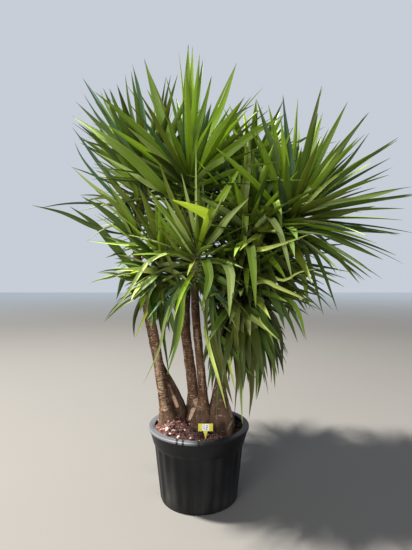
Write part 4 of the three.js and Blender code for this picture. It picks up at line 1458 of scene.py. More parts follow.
def leaves_of(name, order):
    """The leaves of one head, apart from those that stand out."""
    head = HEADS[name]
    core = core_of(head)
    stream = seeded(HEAD_SEED + HEAD_STEP * order)
    kept = outline_leaves(head, core, stream)
    add_spiral(kept, head, core, stream)
    add_by_chance(kept, head, core, stream)
    return [leaf | {"slim": head.get("slim", 1)} for leaf in kept]


print("spiral turns", LEAF["turn"], "degrees from leaf to leaf")

# %% [markdown]
# ## One leaf as a blade
#
# A yucca leaf is a stiff sword: narrow where it leaves the cane, widest about half way, then a long even
# taper to a hard brown point. In section it is a shallow V, so one half is often lit while the other is in
# shade, and that two-tone look is most of what makes it read as a yucca. Each blade is a closed thin body
# with seven points across its upper side and five across its lower side.

# %% Blade shape
BLADE = {
    "width": 0.051,
    "spread": 0.34,
    "waist": 0.46,
    "widest": 0.48,
    "thick": 0.0030,
    "edge": 0.0003,
    "stations": 18,
    "last_station": 0.975,
    "base": 0.09,
    "point": 0.955,
    "rise": 1.2,
    "fall": 1.45,
    "bowl": 1.15,
    "opens": 0.6,
    "flat_at": 0.4,
}
KNEE_STATIONS = (-1, -0.6, -0.3, 0, 0.3, 0.6, 1)
NEARBY = 0.01
ACROSS_TOP = np.linspace(-1, 1, 7)
ACROSS_UNDER = ACROSS_TOP[1:-1][::-1]
AROUND = np.concatenate([ACROSS_TOP, ACROSS_UNDER])
IN_BODY, IN_BASE, IN_POINT = 0, 1, 2


def blade_width(t):
    """The width of a blade at shares t of its length, as a share of its widest."""
    b = BLADE
    rise = between(b["waist"], 1, np.sin(np.pi / 2 * np.clip(t / b["widest"], 0, 1)) ** b["rise"])
    fall = 1 - np.clip((t - b["widest"]) / (1 - b["widest"]), 0, 1) ** b["fall"]
    return rise * fall


def turn_about(vectors, axes, angle):
    """Vectors turned about unit axes by angles in radians."""
    c, s = np.cos(angle)[:, None], np.sin(angle)[:, None]
    along = axes * (axes * vectors).sum(-1, keepdims=True)
    return vectors * c + np.cross(axes, vectors) * s + along * (1 - c)


def stations_of(leaf):
    """Shares of the length where a blade has points: closer at its knee and near its point."""
    even = np.linspace(0, 1, BLADE["stations"] + 1)[:-1]
    extra = [BLADE["last_station"]]
    if leaf.get("knee"):
        extra += [leaf["knee"] + step * KNEE for step in KNEE_STATIONS]
    return np.unique(np.concatenate([even, extra]))


def blade_frame(leaf, finish, t):
    """The middle line of a blade at its stations, with its side and its upper way there."""
    way = unit(leaf["line"](np.minimum(1, t + NEARBY)) - leaf["line"](np.maximum(0, t - NEARBY)))
    side = np.repeat(leaf["side"][None], len(t), axis=0)
    side = turn_about(side, way, leaf["roll"] + finish["twist"] * (t - BLADE["flat_at"]))
    side = unit(side - way * (side * way).sum(-1, keepdims=True))
    wave = finish["wave"] * leaf["length"] * np.sin(np.pi * t) * np.sin(2 * np.pi * t * finish["waves"])
    return leaf["line"](t) + side * wave[:, None], side, np.cross(way, side)


def blade_section(finish, t):
    """How far each point of a blade's section is to the side and above, at the stations."""
    half = finish["width"] / 2 * blade_width(t)
    closed = between(finish["channel"], finish["channel"] * BLADE["opens"], t)
    top = (np.abs(ACROSS_TOP) ** BLADE["bowl"] - 1)[None] * (closed * half)[:, None]
    under = (np.abs(ACROSS_UNDER) ** BLADE["bowl"] - 1)[None] * (closed * half)[:, None]
    thick = BLADE["thick"] * np.sqrt(blade_width(t))[:, None] * (1 - ACROSS_UNDER**2)[None] + BLADE["edge"]
    return half[:, None] * AROUND, np.hstack([top, under - thick])


def blade(leaf, finish):
    """The points, faces, face zones and stored numbers of one blade. The last point is its tip."""
    t = stations_of(leaf)
    middle, side, over = blade_frame(leaf, finish, t)
    widths, rises = blade_section(finish, t)
    points = middle[:, None] + side[:, None] * widths[..., None] + over[:, None] * rises[..., None]
    tip = leaf["line"](np.array([1.0]))
    count = len(AROUND)
    last = len(t) * count
    rim = last - count
    faces = grid_faces(len(t), count).tolist()
    faces += [(rim + k, rim + (k + 1) % count, last) for k in range(count)]
    faces.append(tuple(range(count))[::-1])
    zone = np.where(t[:-1] > BLADE["point"], IN_POINT, np.where(t[:-1] < BLADE["base"], IN_BASE, IN_BODY))
    zone = [*np.repeat(zone, count).tolist(), *[IN_POINT] * count, IN_BASE]
    numbers = {
        "across": np.append(np.tile(AROUND, len(t)), 0),
        "along": np.append(np.repeat(t, count), 1),
    }
    return np.vstack([points.reshape(-1, 3), tip]), faces, zone, numbers


print("a blade is", round(float(blade_width(np.array([0.0]))[0]), 2), "of its full width at its root")

# %% [markdown]
# ## Leaf finishes
#
# The leaves of one plant are far from one green. Young ones are yellow-green, full-grown ones deep green, and
# old ones turn olive and end in dry tan. Other tints are painted light: a lime tint stands for sun shining
# through a leaf, a bright one for a sunlit face and a pale one for a sheen, while the moss and shade tints are
# painted shade deep in the crown. Each leaf takes one such tint as a whole. Within a leaf there are only fine
# things: parallel veins, a paler midrib, a thin dry edge and a waxy bloom that dulls the gloss in patches.

# %% Leaf tints
# Painted light and shade among the tints: lime is light through a leaf, bright a sunlit face, pale a sheen;
# moss and shade are painted shade.
TINTS = {
    "fresh": ((0.152, 0.252, 0.009), (0.228, 0.348, 0.018)),
    "green": ((0.082, 0.140, 0.006), (0.136, 0.212, 0.012)),
    "deep": ((0.037, 0.070, 0.005), (0.066, 0.114, 0.010)),
    "teal": ((0.022, 0.060, 0.020), (0.046, 0.100, 0.036)),
    "olive": ((0.068, 0.092, 0.006), (0.114, 0.142, 0.012)),
    "moss_painted_shade": ((0.044, 0.049, 0.004), (0.084, 0.090, 0.009)),
    "shade": ((0.021, 0.032, 0.002), (0.044, 0.058, 0.004)),
    "lime_painted_glow": ((0.290, 0.400, 0.010), (0.400, 0.520, 0.030)),
    "painted_sunlit": ((0.280, 0.350, 0.060), (0.400, 0.470, 0.120)),
    "pale": ((0.180, 0.240, 0.055), (0.275, 0.340, 0.100)),
    "dry": ((0.300, 0.205, 0.105), (0.450, 0.340, 0.190)),
}
LEAF_BASE = ((0.180, 0.230, 0.060), (0.270, 0.310, 0.110))
LEAF_POINT = ((0.060, 0.040, 0.018), (0.120, 0.080, 0.035))
PALE_EDGE, DIM_EDGE = (0.30, 0.36, 0.11), (0.14, 0.18, 0.05)
DIM_TINTS = ("shade", "deep", "teal")
WAXY, DRY = 0.46, 0.70
STREAKS = {"Scale": 1.6, "Detail": 4.0, "Roughness": 0.6}
RIB_LIGHTER = 1.5


def leaf_skin(name, dark, light, roughness=WAXY, edge=PALE_EDGE):
    """The finish of one tint: its streaks run along the leaf, its veins, midrib and edge across it."""
    skin = Finish("leaf_" + name, IOR=1.45, Specular_IOR_Level=0.34)
    across = skin.value("across")
    along = skin.value("along")
    tone = skin.value("tone")
    where = skin.node("ShaderNodeCombineXYZ", {}, {0: across * 9, 1: along * 2.2, 2: tone * 40})
    streak = skin.node("ShaderNodeTexNoise", {}, {"Vector": where} | STREAKS)
    vein = skin.node("ShaderNodeMath", {"operation": "SINE"}, {0: across * 46 + streak * 2})
    bloom = skin.noise(16, 3)
    body = skin.mix(streak.ramp(0.32, 0.68), dark, light)
    body = skin.shade(body, 0.80 + 0.40 * tone + 0.05 * vein)
    rib = across.size().ramp(0.07, 0.0) * 0.30
    body = skin.mix(rib, body, tuple(min(1, RIB_LIGHTER * part) for part in light))
    margin = across.size().ramp(0.87, 0.99) * 0.40
    body = skin.mix(margin, body, edge)
    height = 0.6 * vein + 0.8 * streak
    return skin.paint(body, roughness + 0.14 * bloom, height, bump=0.22, distance=0.0012)


LEAF_SKINS = []
for tint_name, shades in TINTS.items():
    gloss = DRY if tint_name == "dry" else WAXY
    rim = DIM_EDGE if tint_name in DIM_TINTS else PALE_EDGE
    LEAF_SKINS.append(leaf_skin(tint_name, *shades, gloss, rim))
LEAF_SKINS.append(leaf_skin("base", *LEAF_BASE))
LEAF_SKINS.append(leaf_skin("point", *LEAF_POINT, edge=LEAF_POINT[1]))
TINT_NUMBER = {name: k for k, name in enumerate(TINTS)}
ZONE_NUMBER = {IN_BASE: len(TINTS), IN_POINT: len(TINTS) + 1}
print(len(TINTS), "tints, and a finish each for the base and the point")

# %% [markdown]
# Which tint a leaf takes is dealt out by its age, with chance: mostly fresh at the growing point, deep and
# green through the middle, olive low down, with a few lime and pale ones, which are painted light. The oldest
# rows, for the skirts and the heads in shade, deal mostly painted shade.

# %% Dealing out tints
DEAL = [
    (0.22, {"fresh": 0.36, "green": 0.34, "deep": 0.16, "teal": 0.08, "lime_painted_glow": 0.02, "pale": 0.04}),
    (0.55, {"fresh": 0.16, "green": 0.34, "deep": 0.20, "teal": 0.08, "olive": 0.12, "lime_painted_glow": 0.02,
            "pale": 0.08}),
    (0.85, {"fresh": 0.08, "green": 0.30, "deep": 0.30, "teal": 0.08, "olive": 0.13, "moss_painted_shade": 0.02,
            "pale": 0.09}),
    (1.00, {"green": 0.26, "deep": 0.36, "olive": 0.22, "shade": 0.09, "pale": 0.07}),
    (9.00, {"green": 0.02, "deep": 0.22, "olive": 0.16, "shade": 0.60}),
]
HABIT = {
    "short_width": 0.55,
    "widens": 1.5,
    "twist": 0.4,
    "channel": (0.62, 0.36),
    "channel_by": (0.75, 1.2),
    "wave": 0.006,
    "young_wave": 0.4,
    "waves": (0.8, 1.8),
}


def dealt_tint(age, chance):
    """The tint that chance gives a leaf of this age."""
    deal = next((deal for limit, deal in DEAL if age < limit), {})
    for name, share in deal.items():
        chance -= share
        if chance < 0:
            return name
    return "green"


def blade_finish(leaf, stream):
    """The width, twist, channel, wave and tint of one blade, by age and chance."""
    age = leaf["age"]
    grown = min(1, HABIT["short_width"] + HABIT["widens"] * leaf["length"])
    width = BLADE["width"] * grown * between(1 - BLADE["spread"] / 2, 1 + BLADE["spread"] / 2, next(stream))
    return {
        "width": leaf.get("width", width * leaf.get("slim", 1)),
        "twist": leaf.get("twist", between(-HABIT["twist"], HABIT["twist"], next(stream))),
        "channel": between(*HABIT["channel"], min(1, age)) * between(*HABIT["channel_by"], next(stream)),
        "wave": HABIT["wave"] * next(stream) * (HABIT["young_wave"] + age),
        "waves": between(*HABIT["waves"], next(stream)),
        "tone": next(stream),
        "tint": leaf.get("tint", dealt_tint(age, next(stream))),
    }


print("by age:", ", ".join(f"below {limit} mostly {max(deal, key=deal.get)}" for limit, deal in DEAL))

# %% [markdown]
# ## Leaves that stand out
#
# A rule alone gives a tidy plant. What makes this one itself are some hundred and twenty leaves that stand
# out in the photograph: the lime one folded over in the middle, the broad ones hanging from their knees, the
# curtain low on the right. Each is written as its seat on the core, its width, its tint, the way that its
# side faces and the pixels that its middle line passes, with a depth for each. Folded ones are creased at
# every bend.

# %% How a leaf is written down
STANDING, HANGING, TILTED = (-1, 0, 0), (1, 0, 0), (0.6, 0, 0.8)
TO_LEFT, TO_RIGHT = (0, -0.3, -1), (0, -0.3, 1)
NOTABLE = {}


def seen_leaf(seat, width, tint, facing, *pixels, folded=False):
    """A leaf as the photograph shows it."""
    return {"seat": seat, "width": width, "tint": tint, "facing": facing, "pixels": pixels, "folded": folded}


print("ways to face:", STANDING, HANGING, TILTED, TO_LEFT, TO_RIGHT)

# %% [markdown]
# The first of these is the lime leaf that folds over in the middle of the crown. Round it the short head at
# the front holds stiff leaves upright, and lets its old ones hang over the canes.

# %% The front of the crown
NOTABLE["head_front"] = [
    seen_leaf(1.3, 0.068, "lime_painted_glow", TILTED,
              (203, 233, -0.38), (209, 214, -0.45), (170, 199, -0.54), folded=True),
    seen_leaf(0.9, 0.052, "green", HANGING,
              (206, 260, -0.40), (210, 276, -0.43), (201, 312, -0.44), folded=True),
    seen_leaf(0.9, 0.056, "pale", HANGING,
              (226, 262, -0.42), (231, 272, -0.46), (229, 319, -0.48), folded=True),
    seen_leaf(0.0, 0.026, "painted_sunlit", HANGING,
              (204, 312, -0.10), (207, 336, -0.28), (216, 370, -0.40), (227, 412, -0.40)),
    seen_leaf(0.3, 0.026, "shade", HANGING, (206, 296, -0.42), (206, 318, -0.44), (209, 346, -0.44)),
    seen_leaf(0.2, 0.030, "deep", HANGING, (210, 300, -0.36), (212, 322, -0.38), (218, 352, -0.38)),
    seen_leaf(0.4, 0.028, "green", HANGING,
              (184, 294, -0.30), (182, 315, -0.33), (177, 342, -0.34), (166, 378, -0.34)),
    seen_leaf(0.4, 0.036, "deep", HANGING,
              (181, 296, -0.28), (178, 320, -0.31), (173, 344, -0.32), (168, 362, -0.32)),
    seen_leaf(0.4, 0.040, "teal", HANGING,
              (188, 287, -0.26), (174, 298, -0.30), (166, 318, -0.32), (160, 347, -0.32)),
    seen_leaf(0.4, 0.016, "pale", HANGING,
              (175, 297, -0.28), (165, 320, -0.33), (159, 350, -0.34), (143, 385, -0.34)),
    seen_leaf(0.6, 0.044, "deep", HANGING, (212, 275, -0.34), (227, 284, -0.38), (244, 296, -0.40)),
    seen_leaf(0.5, 0.040, "teal", HANGING, (210, 285, -0.34), (222, 300, -0.37), (238, 308, -0.38)),
    seen_leaf(0.4, 0.040, "deep", HANGING, (208, 292, -0.33), (216, 318, -0.35), (233, 334, -0.36)),
    seen_leaf(1.0, 0.034, "green", STANDING, (188, 246, -0.30), (172, 224, -0.36), (146, 186, -0.44)),
    seen_leaf(1.1, 0.034, "olive", STANDING, (190, 238, -0.30), (176, 208, -0.36), (158, 160, -0.44)),
    seen_leaf(1.0, 0.014, "pale", STANDING, (189, 250, -0.32), (164, 214, -0.38), (146, 191, -0.42)),
    seen_leaf(0.8, 0.026, "pale", HANGING,
              (176, 254, -0.30), (164, 254, -0.34), (148, 262, -0.38), (138, 276, -0.40),
              (126, 295, -0.41), (108, 317, -0.41)),
    seen_leaf(1.1, 0.044, "pale", STANDING, (217, 233, -0.36), (228, 218, -0.40), (250, 197, -0.44)),
    seen_leaf(1.3, 0.044, "deep", STANDING, (201, 232, -0.30), (203, 180, -0.34)),
    seen_leaf(1.3, 0.052, "fresh", STANDING, (206, 226, -0.32), (217, 205, -0.36), (243, 163, -0.40)),
    seen_leaf(1.4, 0.014, "pale", STANDING, (196, 230, -0.34), (196, 142, -0.40)),
    seen_leaf(1.2, 0.034, "pale", STANDING, (186, 237, -0.32), (163, 195, -0.42)),
    seen_leaf(1.0, 0.030, "green", STANDING, (180, 243, -0.32), (153, 208, -0.42)),
    seen_leaf(0.9, 0.026, "olive", HANGING, (180, 252, -0.30), (166, 234, -0.36), (154, 224, -0.40)),
    seen_leaf(1.0, 0.030, "olive", HANGING, (158, 230, -0.10), (172, 266, -0.14), (182, 291, -0.14)),
]
print(len(NOTABLE["head_front"]), "leaves")

# %% [markdown]
# Behind it, broad leaves arch up, cross and drop again, most of them seen from their bright upper side.

# %% The middle
NOTABLE["head_middle"] = [
    seen_leaf(0.8, 0.054, "green", HANGING,
              (241, 244, -0.42), (248, 244, -0.47), (252, 256, -0.49), (256, 310, -0.49)),
    seen_leaf(1.0, 0.040, "pale", HANGING,
              (258, 226, -0.36), (268, 216, -0.41), (279, 230, -0.45), (286, 254, -0.47),
              (293, 283, -0.48)),
    seen_leaf(0.4, 0.026, "painted_sunlit", TO_RIGHT, (263, 249, -0.46), (285, 243, -0.49), (312, 233, -0.50)),
    seen_leaf(0.3, 0.020, "painted_sunlit", TO_RIGHT, (278, 279, -0.40), (299, 272, -0.46), (321, 268, -0.48)),
    seen_leaf(0.5, 0.030, "deep", HANGING, (296, 240, -0.20), (309, 262, -0.24), (324, 317, -0.24)),
    seen_leaf(1.1, 0.046, "fresh", STANDING, (268, 176, -0.20), (281, 153, -0.24), (293, 127, -0.28)),
    seen_leaf(1.3, 0.052, "olive", STANDING, (243, 208, -0.32), (247, 176, -0.36), (250, 138, -0.38)),
    seen_leaf(1.2, 0.040, "green", STANDING, (239, 200, -0.26), (240, 166, -0.30)),
    seen_leaf(1.2, 0.048, "deep", STANDING, (276, 166, -0.28), (266, 130, -0.31), (256.5, 99, -0.32)),
]
print(len(NOTABLE["head_middle"]), "leaves")

# %% [markdown]
# At the right a fan of stiff leaves spreads towards the edge of the crown.

# %% The right
NOTABLE["head_right"] = [
    seen_leaf(0.3, 0.026, "deep", HANGING, (307, 246, -0.16), (322, 268, -0.18), (338, 312, -0.18)),
    seen_leaf(1.1, 0.040, "teal", STANDING, (292, 184, -0.22), (287, 132, -0.26), (282.5, 95, -0.27)),
    seen_leaf(1.1, 0.048, "green", STANDING, (301, 196, -0.15), (324, 148, -0.18), (348, 101, -0.19)),
    seen_leaf(1.2, 0.046, "olive", STANDING, (302, 172, -0.14), (311, 130, -0.16), (322, 85, -0.17)),
    seen_leaf(0.9, 0.040, "deep", STANDING, (314, 192, -0.14), (345, 143, -0.18), (370, 111, -0.20)),
    seen_leaf(0.7, 0.044, "fresh", STANDING, (320, 195, -0.12), (352, 167, -0.16), (398, 140, -0.18)),
    seen_leaf(1.0, 0.024, "pale", STANDING, (296, 206, -0.10), (306, 193, -0.14), (317, 178, -0.18)),
    seen_leaf(0.9, 0.030, "deep", STANDING, (320, 190, -0.08), (346, 164, -0.10), (370, 132, -0.12)),
    seen_leaf(0.7, 0.024, "teal", STANDING, (325, 201, -0.08), (360, 183, -0.10), (393, 167, -0.12)),
    seen_leaf(0.6, 0.042, "pale", TO_RIGHT, (316, 208, -0.14), (358, 199, -0.18), (404, 188, -0.20)),
    seen_leaf(0.5, 0.050, "olive", TO_RIGHT, (302, 224, -0.14), (338, 213, -0.19), (376, 206, -0.22)),
    seen_leaf(0.4, 0.044, "teal", TO_RIGHT, (312, 226, -0.12), (356, 229, -0.16), (402, 234, -0.18)),
    seen_leaf(0.3, 0.042, "deep", TO_RIGHT, (312, 230, -0.10), (346, 243, -0.15), (384, 260, -0.18)),
    seen_leaf(0.2, 0.040, "olive", TO_RIGHT, (306, 236, -0.12), (334, 254, -0.18), (360, 284, -0.20)),
    seen_leaf(1.1, 0.034, "pale", STANDING, (306, 176, -0.18), (315, 142, -0.22), (323, 112, -0.24)),
    seen_leaf(1.0, 0.030, "pale", STANDING, (298, 206, -0.20), (318, 176, -0.24), (338, 150, -0.26)),
    seen_leaf(0.9, 0.026, "painted_sunlit", STANDING, (306, 204, -0.18), (328, 182, -0.22), (358, 162, -0.24)),
    seen_leaf(1.0, 0.044, "olive", STANDING, (306, 196, -0.19), (330, 160, -0.23), (362, 120, -0.25)),
]
print(len(NOTABLE["head_right"]), "leaves")

# %% [markdown]
# Low on the right the old leaves hang down in a curtain, with dark gaps between them.

# %% The curtain
NOTABLE["head_low_right"] = [
    seen_leaf(0.8, 0.028, "painted_sunlit", TO_RIGHT,
              (262, 281, -0.40), (278, 287, -0.44), (296, 295, -0.46), (316, 305, -0.46)),
    seen_leaf(0.4, 0.036, "painted_sunlit", HANGING, (242, 310, -0.37), (262, 325, -0.40), (282, 343, -0.41)),
    seen_leaf(0.4, 0.040, "deep", HANGING, (244, 306, -0.34), (266, 322, -0.36), (286, 346, -0.36)),
    seen_leaf(0.6, 0.050, "deep", HANGING, (256, 296, -0.33), (264, 312, -0.35), (268, 334, -0.35)),
    seen_leaf(0.6, 0.050, "deep", HANGING, (266, 292, -0.31), (278, 306, -0.33), (285, 330, -0.33)),
    seen_leaf(0.5, 0.046, "olive", HANGING, (237, 304, -0.36), (237, 330, -0.37), (238, 350, -0.37)),
    seen_leaf(0.5, 0.034, "deep", HANGING,
              (213, 326, -0.33), (228, 345, -0.35), (244, 367, -0.36), (261, 382, -0.36)),
    seen_leaf(0.7, 0.036, "deep", HANGING, (275, 300, -0.30), (288, 318, -0.31), (298, 343, -0.31)),
    seen_leaf(0.6, 0.034, "teal", HANGING, (268, 316, -0.24), (274, 340, -0.25), (279, 376, -0.25)),
    seen_leaf(0.6, 0.034, "green", HANGING, (290, 300, -0.30), (307, 341, -0.32)),
    seen_leaf(0.4, 0.044, "moss_painted_shade", HANGING, (246, 318, -0.32), (252, 378, -0.33), (249, 419, -0.32)),
    seen_leaf(0.5, 0.044, "moss_painted_shade", HANGING, (253, 320, -0.34), (257, 360, -0.34), (256, 400, -0.34)),
    seen_leaf(0.6, 0.040, "olive", HANGING, (263, 318, -0.30), (272, 350, -0.31), (275, 389, -0.30)),
    seen_leaf(0.7, 0.038, "shade", HANGING, (270, 312, -0.26), (280, 336, -0.27), (283, 364, -0.27)),
    seen_leaf(0.4, 0.038, "moss_painted_shade", HANGING, (238, 318, -0.33), (232, 350, -0.34), (228, 384, -0.33)),
    seen_leaf(0.5, 0.036, "shade", HANGING, (228, 310, -0.32), (219, 338, -0.34), (222, 372, -0.33)),
    seen_leaf(0.4, 0.052, "moss_painted_shade", HANGING,
              (226, 314, -0.33), (216, 336, -0.36), (222, 368, -0.38), (233, 405, -0.38)),
    seen_leaf(0.4, 0.046, "moss_painted_shade", HANGING, (240, 316, -0.34), (239, 358, -0.35), (236, 400, -0.35)),
    seen_leaf(0.3, 0.036, "deep", HANGING, (240, 320, -0.32), (245, 362, -0.33), (243, 391, -0.33)),
    seen_leaf(0.3, 0.044, "moss_painted_shade", HANGING, (232, 322, -0.28), (227, 356, -0.30), (224, 394, -0.30)),
    seen_leaf(0.3, 0.040, "shade", HANGING, (224, 322, -0.24), (214, 345, -0.26), (213, 374, -0.26)),
    seen_leaf(0.3, 0.016, "teal", HANGING, (240, 330, -0.30), (237, 380, -0.31), (234, 421, -0.30)),
    seen_leaf(0.6, 0.040, "deep", HANGING, (250, 316, -0.32), (261, 346, -0.33), (268, 378, -0.32)),
    seen_leaf(0.3, 0.036, "olive", HANGING, (243, 326, -0.30), (240, 365, -0.31), (238, 394, -0.31)),
    seen_leaf(0.2, 0.034, "painted_sunlit", HANGING,
              (231, 322, -0.18), (227, 346, -0.32), (230, 366, -0.46), (235, 390, -0.46)),
    seen_leaf(0.2, 0.026, "painted_sunlit", HANGING,
              (252, 300, -0.12), (257, 314, -0.32), (263, 325, -0.46), (279, 341, -0.47)),
]
print(len(NOTABLE["head_low_right"]), "leaves")

# %% [markdown]
# Low on the left old leaves lie across each other, each one sagging more than the one above.

# %% Low on the left
NOTABLE["head_low_left"] = [
    seen_leaf(0.9, 0.044, "painted_sunlit", TO_LEFT, (156, 271, -0.24), (136, 269, -0.33), (114, 271, -0.37)),
    seen_leaf(0.6, 0.024, "olive", HANGING, (143, 292, -0.05), (121, 306, -0.08), (105, 321, -0.08)),
    seen_leaf(0.5, 0.018, "lime_painted_glow", HANGING,
              (154, 295, -0.04), (145, 316, -0.05), (141, 325, -0.05), (134, 341, -0.05)),
    seen_leaf(0.5, 0.048, "deep", HANGING, (154, 282, -0.08), (145, 286, -0.12), (136, 296, -0.12)),
    seen_leaf(0.6, 0.030, "painted_sunlit", HANGING, (155, 276, -0.10), (148, 279, -0.14), (141, 285, -0.14)),
    seen_leaf(0.7, 0.046, "deep", HANGING, (156, 275, -0.30), (145, 285, -0.38), (129, 302, -0.40)),
    seen_leaf(0.6, 0.036, "deep", HANGING, (158, 280, -0.28), (150, 292, -0.34), (146, 312, -0.35)),
    seen_leaf(0.5, 0.056, "deep", STANDING,
              (146, 276, 0.04), (131, 265, 0.06), (113, 245, 0.06), (95, 224, 0.04), (69, 206, 0.00)),
    seen_leaf(1.3, 0.022, "fresh", TO_LEFT, (154, 247, -0.10), (123, 244, -0.12), (87, 241, -0.14)),
    seen_leaf(0.8, 0.032, "deep", TO_LEFT, (131, 279, -0.08), (114, 274, -0.12), (97, 273, -0.12)),
    seen_leaf(0.7, 0.020, "olive", TO_LEFT, (131, 272, -0.10), (112, 277, -0.12), (90, 283, -0.12)),
    seen_leaf(0.7, 0.040, "deep", TO_LEFT, (152, 283, -0.10), (136, 290, -0.14), (122, 296, -0.16)),
    seen_leaf(0.6, 0.036, "green", HANGING, (156, 290, -0.06), (159, 305, -0.08), (163, 322, -0.08)),
    seen_leaf(0.9, 0.034, "deep", HANGING, (172, 272, -0.08), (180, 282, -0.10), (186, 296, -0.10)),
]
print(len(NOTABLE["head_low_left"]), "leaves")

# %% [markdown]
# At the top a few leaves stand apart from the rest and are seen edge on or broadside.

# %% The top
NOTABLE["head_top"] = [
    seen_leaf(0.9, 0.062, "green", STANDING,
              (172, 195, -0.30), (135, 161, -0.46), (105, 138, -0.50), (71, 115, -0.46)),
    seen_leaf(0.9, 0.040, "deep", STANDING, (166, 186, -0.20), (120, 143, -0.28), (75, 101, -0.32)),
    seen_leaf(0.8, 0.030, "pale", STANDING, (158, 190, -0.24), (128, 170, -0.30), (92, 150, -0.32)),
    seen_leaf(1.1, 0.058, "green", STANDING,
              (176, 162, -0.16), (160, 114, -0.20), (152, 86, -0.21), (144, 58, -0.22)),
    seen_leaf(1.3, 0.038, "deep", STANDING, (189, 142, -0.14), (198, 92, -0.16), (203, 59, -0.18)),
    seen_leaf(1.2, 0.042, "green", STANDING,
              (193, 146, -0.20), (200, 120, -0.22), (207, 96, -0.23), (212, 75, -0.24)),
    seen_leaf(1.1, 0.044, "fresh", STANDING,
              (200, 148, -0.22), (211, 127, -0.26), (221, 107, -0.27), (237, 62, -0.28)),
    seen_leaf(1.3, 0.048, "green", STANDING, (188, 148, -0.14), (186, 100, -0.16), (188.5, 44, -0.17)),
    seen_leaf(1.4, 0.044, "fresh", STANDING, (193, 148, -0.12), (192, 100, -0.14), (192.5, 46, -0.15)),
    seen_leaf(0.9, 0.056, "green", STANDING,
              (207, 170, -0.20), (228, 152, -0.26), (264, 127, -0.29), (284, 115, -0.30)),
    seen_leaf(1.0, 0.030, "deep", STANDING, (210, 146, -0.18), (232, 118, -0.22), (256, 103, -0.23)),
    seen_leaf(1.2, 0.034, "deep", STANDING, (166, 140, 0.02), (164, 112, 0.00), (171, 74, -0.02)),
    seen_leaf(1.2, 0.030, "teal", STANDING, (164, 138, 0.04), (161, 112, 0.02), (166, 76, 0.00)),
]
print(len(NOTABLE["head_top"]), "leaves")

# %% [markdown]
# At the left the lowest leaves of the head reach far out, almost level.

# %% The left
NOTABLE["head_left"] = [
    seen_leaf(0.8, 0.034, "teal", STANDING, (140, 170, -0.10), (122, 138, -0.16), (109, 97, -0.18)),
    seen_leaf(0.3, 0.032, "teal", STANDING, (122, 194, 0.05), (96, 159, 0.02), (72, 127, 0.00)),
    seen_leaf(0.2, 0.026, "teal", STANDING,
              (119, 201, 0.05), (97, 177, 0.02), (82, 158, 0.00), (74, 141, -0.02)),
    seen_leaf(0.1, 0.030, "pale", STANDING, (118, 206, 0.02), (94, 187, 0.00), (72, 167, -0.02)),
    seen_leaf(1.0, 0.034, "teal", STANDING, (128, 130, 0.02), (116, 107, 0.00), (109, 88, -0.02)),
    seen_leaf(0.9, 0.036, "green", STANDING,
              (139, 150, 0.00), (120, 128, -0.04), (106, 105, -0.06), (100, 90, -0.06)),
    seen_leaf(0.9, 0.026, "teal", STANDING, (115, 141, 0.02), (96, 114, 0.00), (83, 93, -0.02)),
    seen_leaf(1.1, 0.030, "deep", STANDING, (137, 138, 0.00), (129, 102, -0.02), (125, 73, -0.02)),
    seen_leaf(1.2, 0.034, "teal", STANDING, (146, 140, -0.04), (139, 92, -0.06), (132, 63, -0.06)),
    seen_leaf(0.9, 0.032, "teal", STANDING,
              (132, 158, -0.02), (117, 132, -0.06), (99, 105, -0.08), (82, 77, -0.10)),
    seen_leaf(0.6, 0.036, "green", STANDING, (133, 186, 0.00), (112, 160, -0.04), (93, 138, -0.06)),
    seen_leaf(0.4, 0.036, "olive", STANDING, (132, 205, 0.02), (113, 184, -0.02), (99, 164, -0.04)),
    seen_leaf(-0.1, 0.046, "deep", STANDING, (122, 226, 0.04), (102, 209, 0.00), (81, 196, -0.02)),
    seen_leaf(0.0, 0.040, "olive", STANDING, (128, 222, 0.02), (113, 203, -0.02), (95, 190, -0.04)),
    seen_leaf(0.0, 0.036, "green", STANDING, (136, 232, 0.02), (124, 207, -0.04), (106, 181, -0.06)),
    seen_leaf(-0.1, 0.020, "pale", STANDING, (124, 221, 0.00), (108, 206, -0.04), (87, 196, -0.06)),
    seen_leaf(0.1, 0.036, "deep", STANDING, (100, 229, 0.06), (62, 213, 0.00), (31, 205, -0.04)),
    seen_leaf(-0.1, 0.026, "shade", HANGING, (125, 250, 0.08), (116, 254, 0.06), (105, 258, 0.04)),
]
print(len(NOTABLE["head_left"]), "leaves")

# %% [markdown]
# A list of pixels and depths becomes a middle line as the canes did: a smooth line through the points,
# walked at an even pace. A folded leaf gets two points close to each bend in place of one, which makes the
# bend tight.

# %% Lines through the pixels
CREASE = 0.030
EVEN_STEPS = 160
NOTABLE_AGE = 0.5


def creased(points):
    """The same points, each bend replaced by two points close on either side of it."""
    made = [points[0]]
    for before, here, after in zip(points, points[1:], points[2:]):
        made += [here + CREASE * unit(before - here), here + CREASE * unit(after - here)]
    return made + [points[-1]]


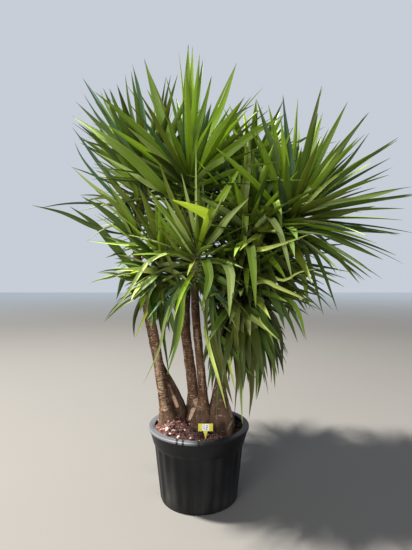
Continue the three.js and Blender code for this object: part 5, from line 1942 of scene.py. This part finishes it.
def through(points):
    """A leaf's middle line through the points, at even shares of its length."""
    share = np.linspace(0, 1, EVEN_STEPS)
    run = np.linalg.norm(np.diff(on_line(points, share), axis=0), axis=1).cumsum()
    run = np.concatenate([[0], run])

    def line(t):
        return on_line(points, np.interp(np.asarray(t) * run[-1], run, share))

    return line, run[-1]


def notable_leaves(name):
    """The leaves of one head that stand out."""
    core = core_of(HEADS[name])
    made = []
    for leaf in NOTABLE.get(name, []):
        points = [on_core(core, leaf["seat"])] + [seen(*pixel) for pixel in leaf["pixels"]]
        line, length = through(creased(points) if leaf["folded"] else points)
        made.append({
            "line": line,
            "side": np.array(leaf["facing"], float),
            "roll": 0.0,
            "length": length,
            "age": NOTABLE_AGE,
            "width": leaf["width"],
            "tint": leaf["tint"],
            "twist": 0.0,
        })
    return made


print(sum(len(leaves) for leaves in NOTABLE.values()), "leaves that stand out")

# %% [markdown]
# ## Growing the heads
#
# Each head becomes one object that stands in for its solid. The blades of all its leaves are joined in one
# set of arrays, and every point keeps three numbers for the finish: how far across the leaf it is, how far
# along, and the leaf's own tone.

# %% Ten heads of leaves
FINISH_SEED, FINISH_STEP = 9100, 31
LEAF_SHARP = 24


def make_head(name, order):
    """All the leaves of one head as one object."""
    leaves = leaves_of(name, order) + notable_leaves(name)
    stream = seeded(FINISH_SEED + FINISH_STEP * order)
    points, faces, which = [], [], []
    stored = {"across": [], "along": [], "tone": []}
    total = 0
    print(name, len(leaves), "leaves")
    for leaf in leaves:
        finish = blade_finish(leaf, stream)
        more, quads, zone, numbers = blade(leaf, finish)
        faces += [[total + k for k in quad] for quad in quads]
        tint = TINT_NUMBER[finish["tint"]]
        which += [ZONE_NUMBER.get(part, tint) for part in zone]
        points.append(more)
        stored["across"].append(numbers["across"])
        stored["along"].append(numbers["along"])
        stored["tone"].append(np.full(len(more), finish["tone"]))
        total += len(more)
    numbers = {key: np.concatenate(values) for key, values in stored.items()}
    label = "leaves_" + name.removeprefix("head_")
    everything = np.concatenate(points)
    return piece(label, everything, faces, LEAF_SKINS, which, numbers, LEAF_SHARP, [name])


for order, head_name in enumerate(HEADS):
    make_head(head_name, order)
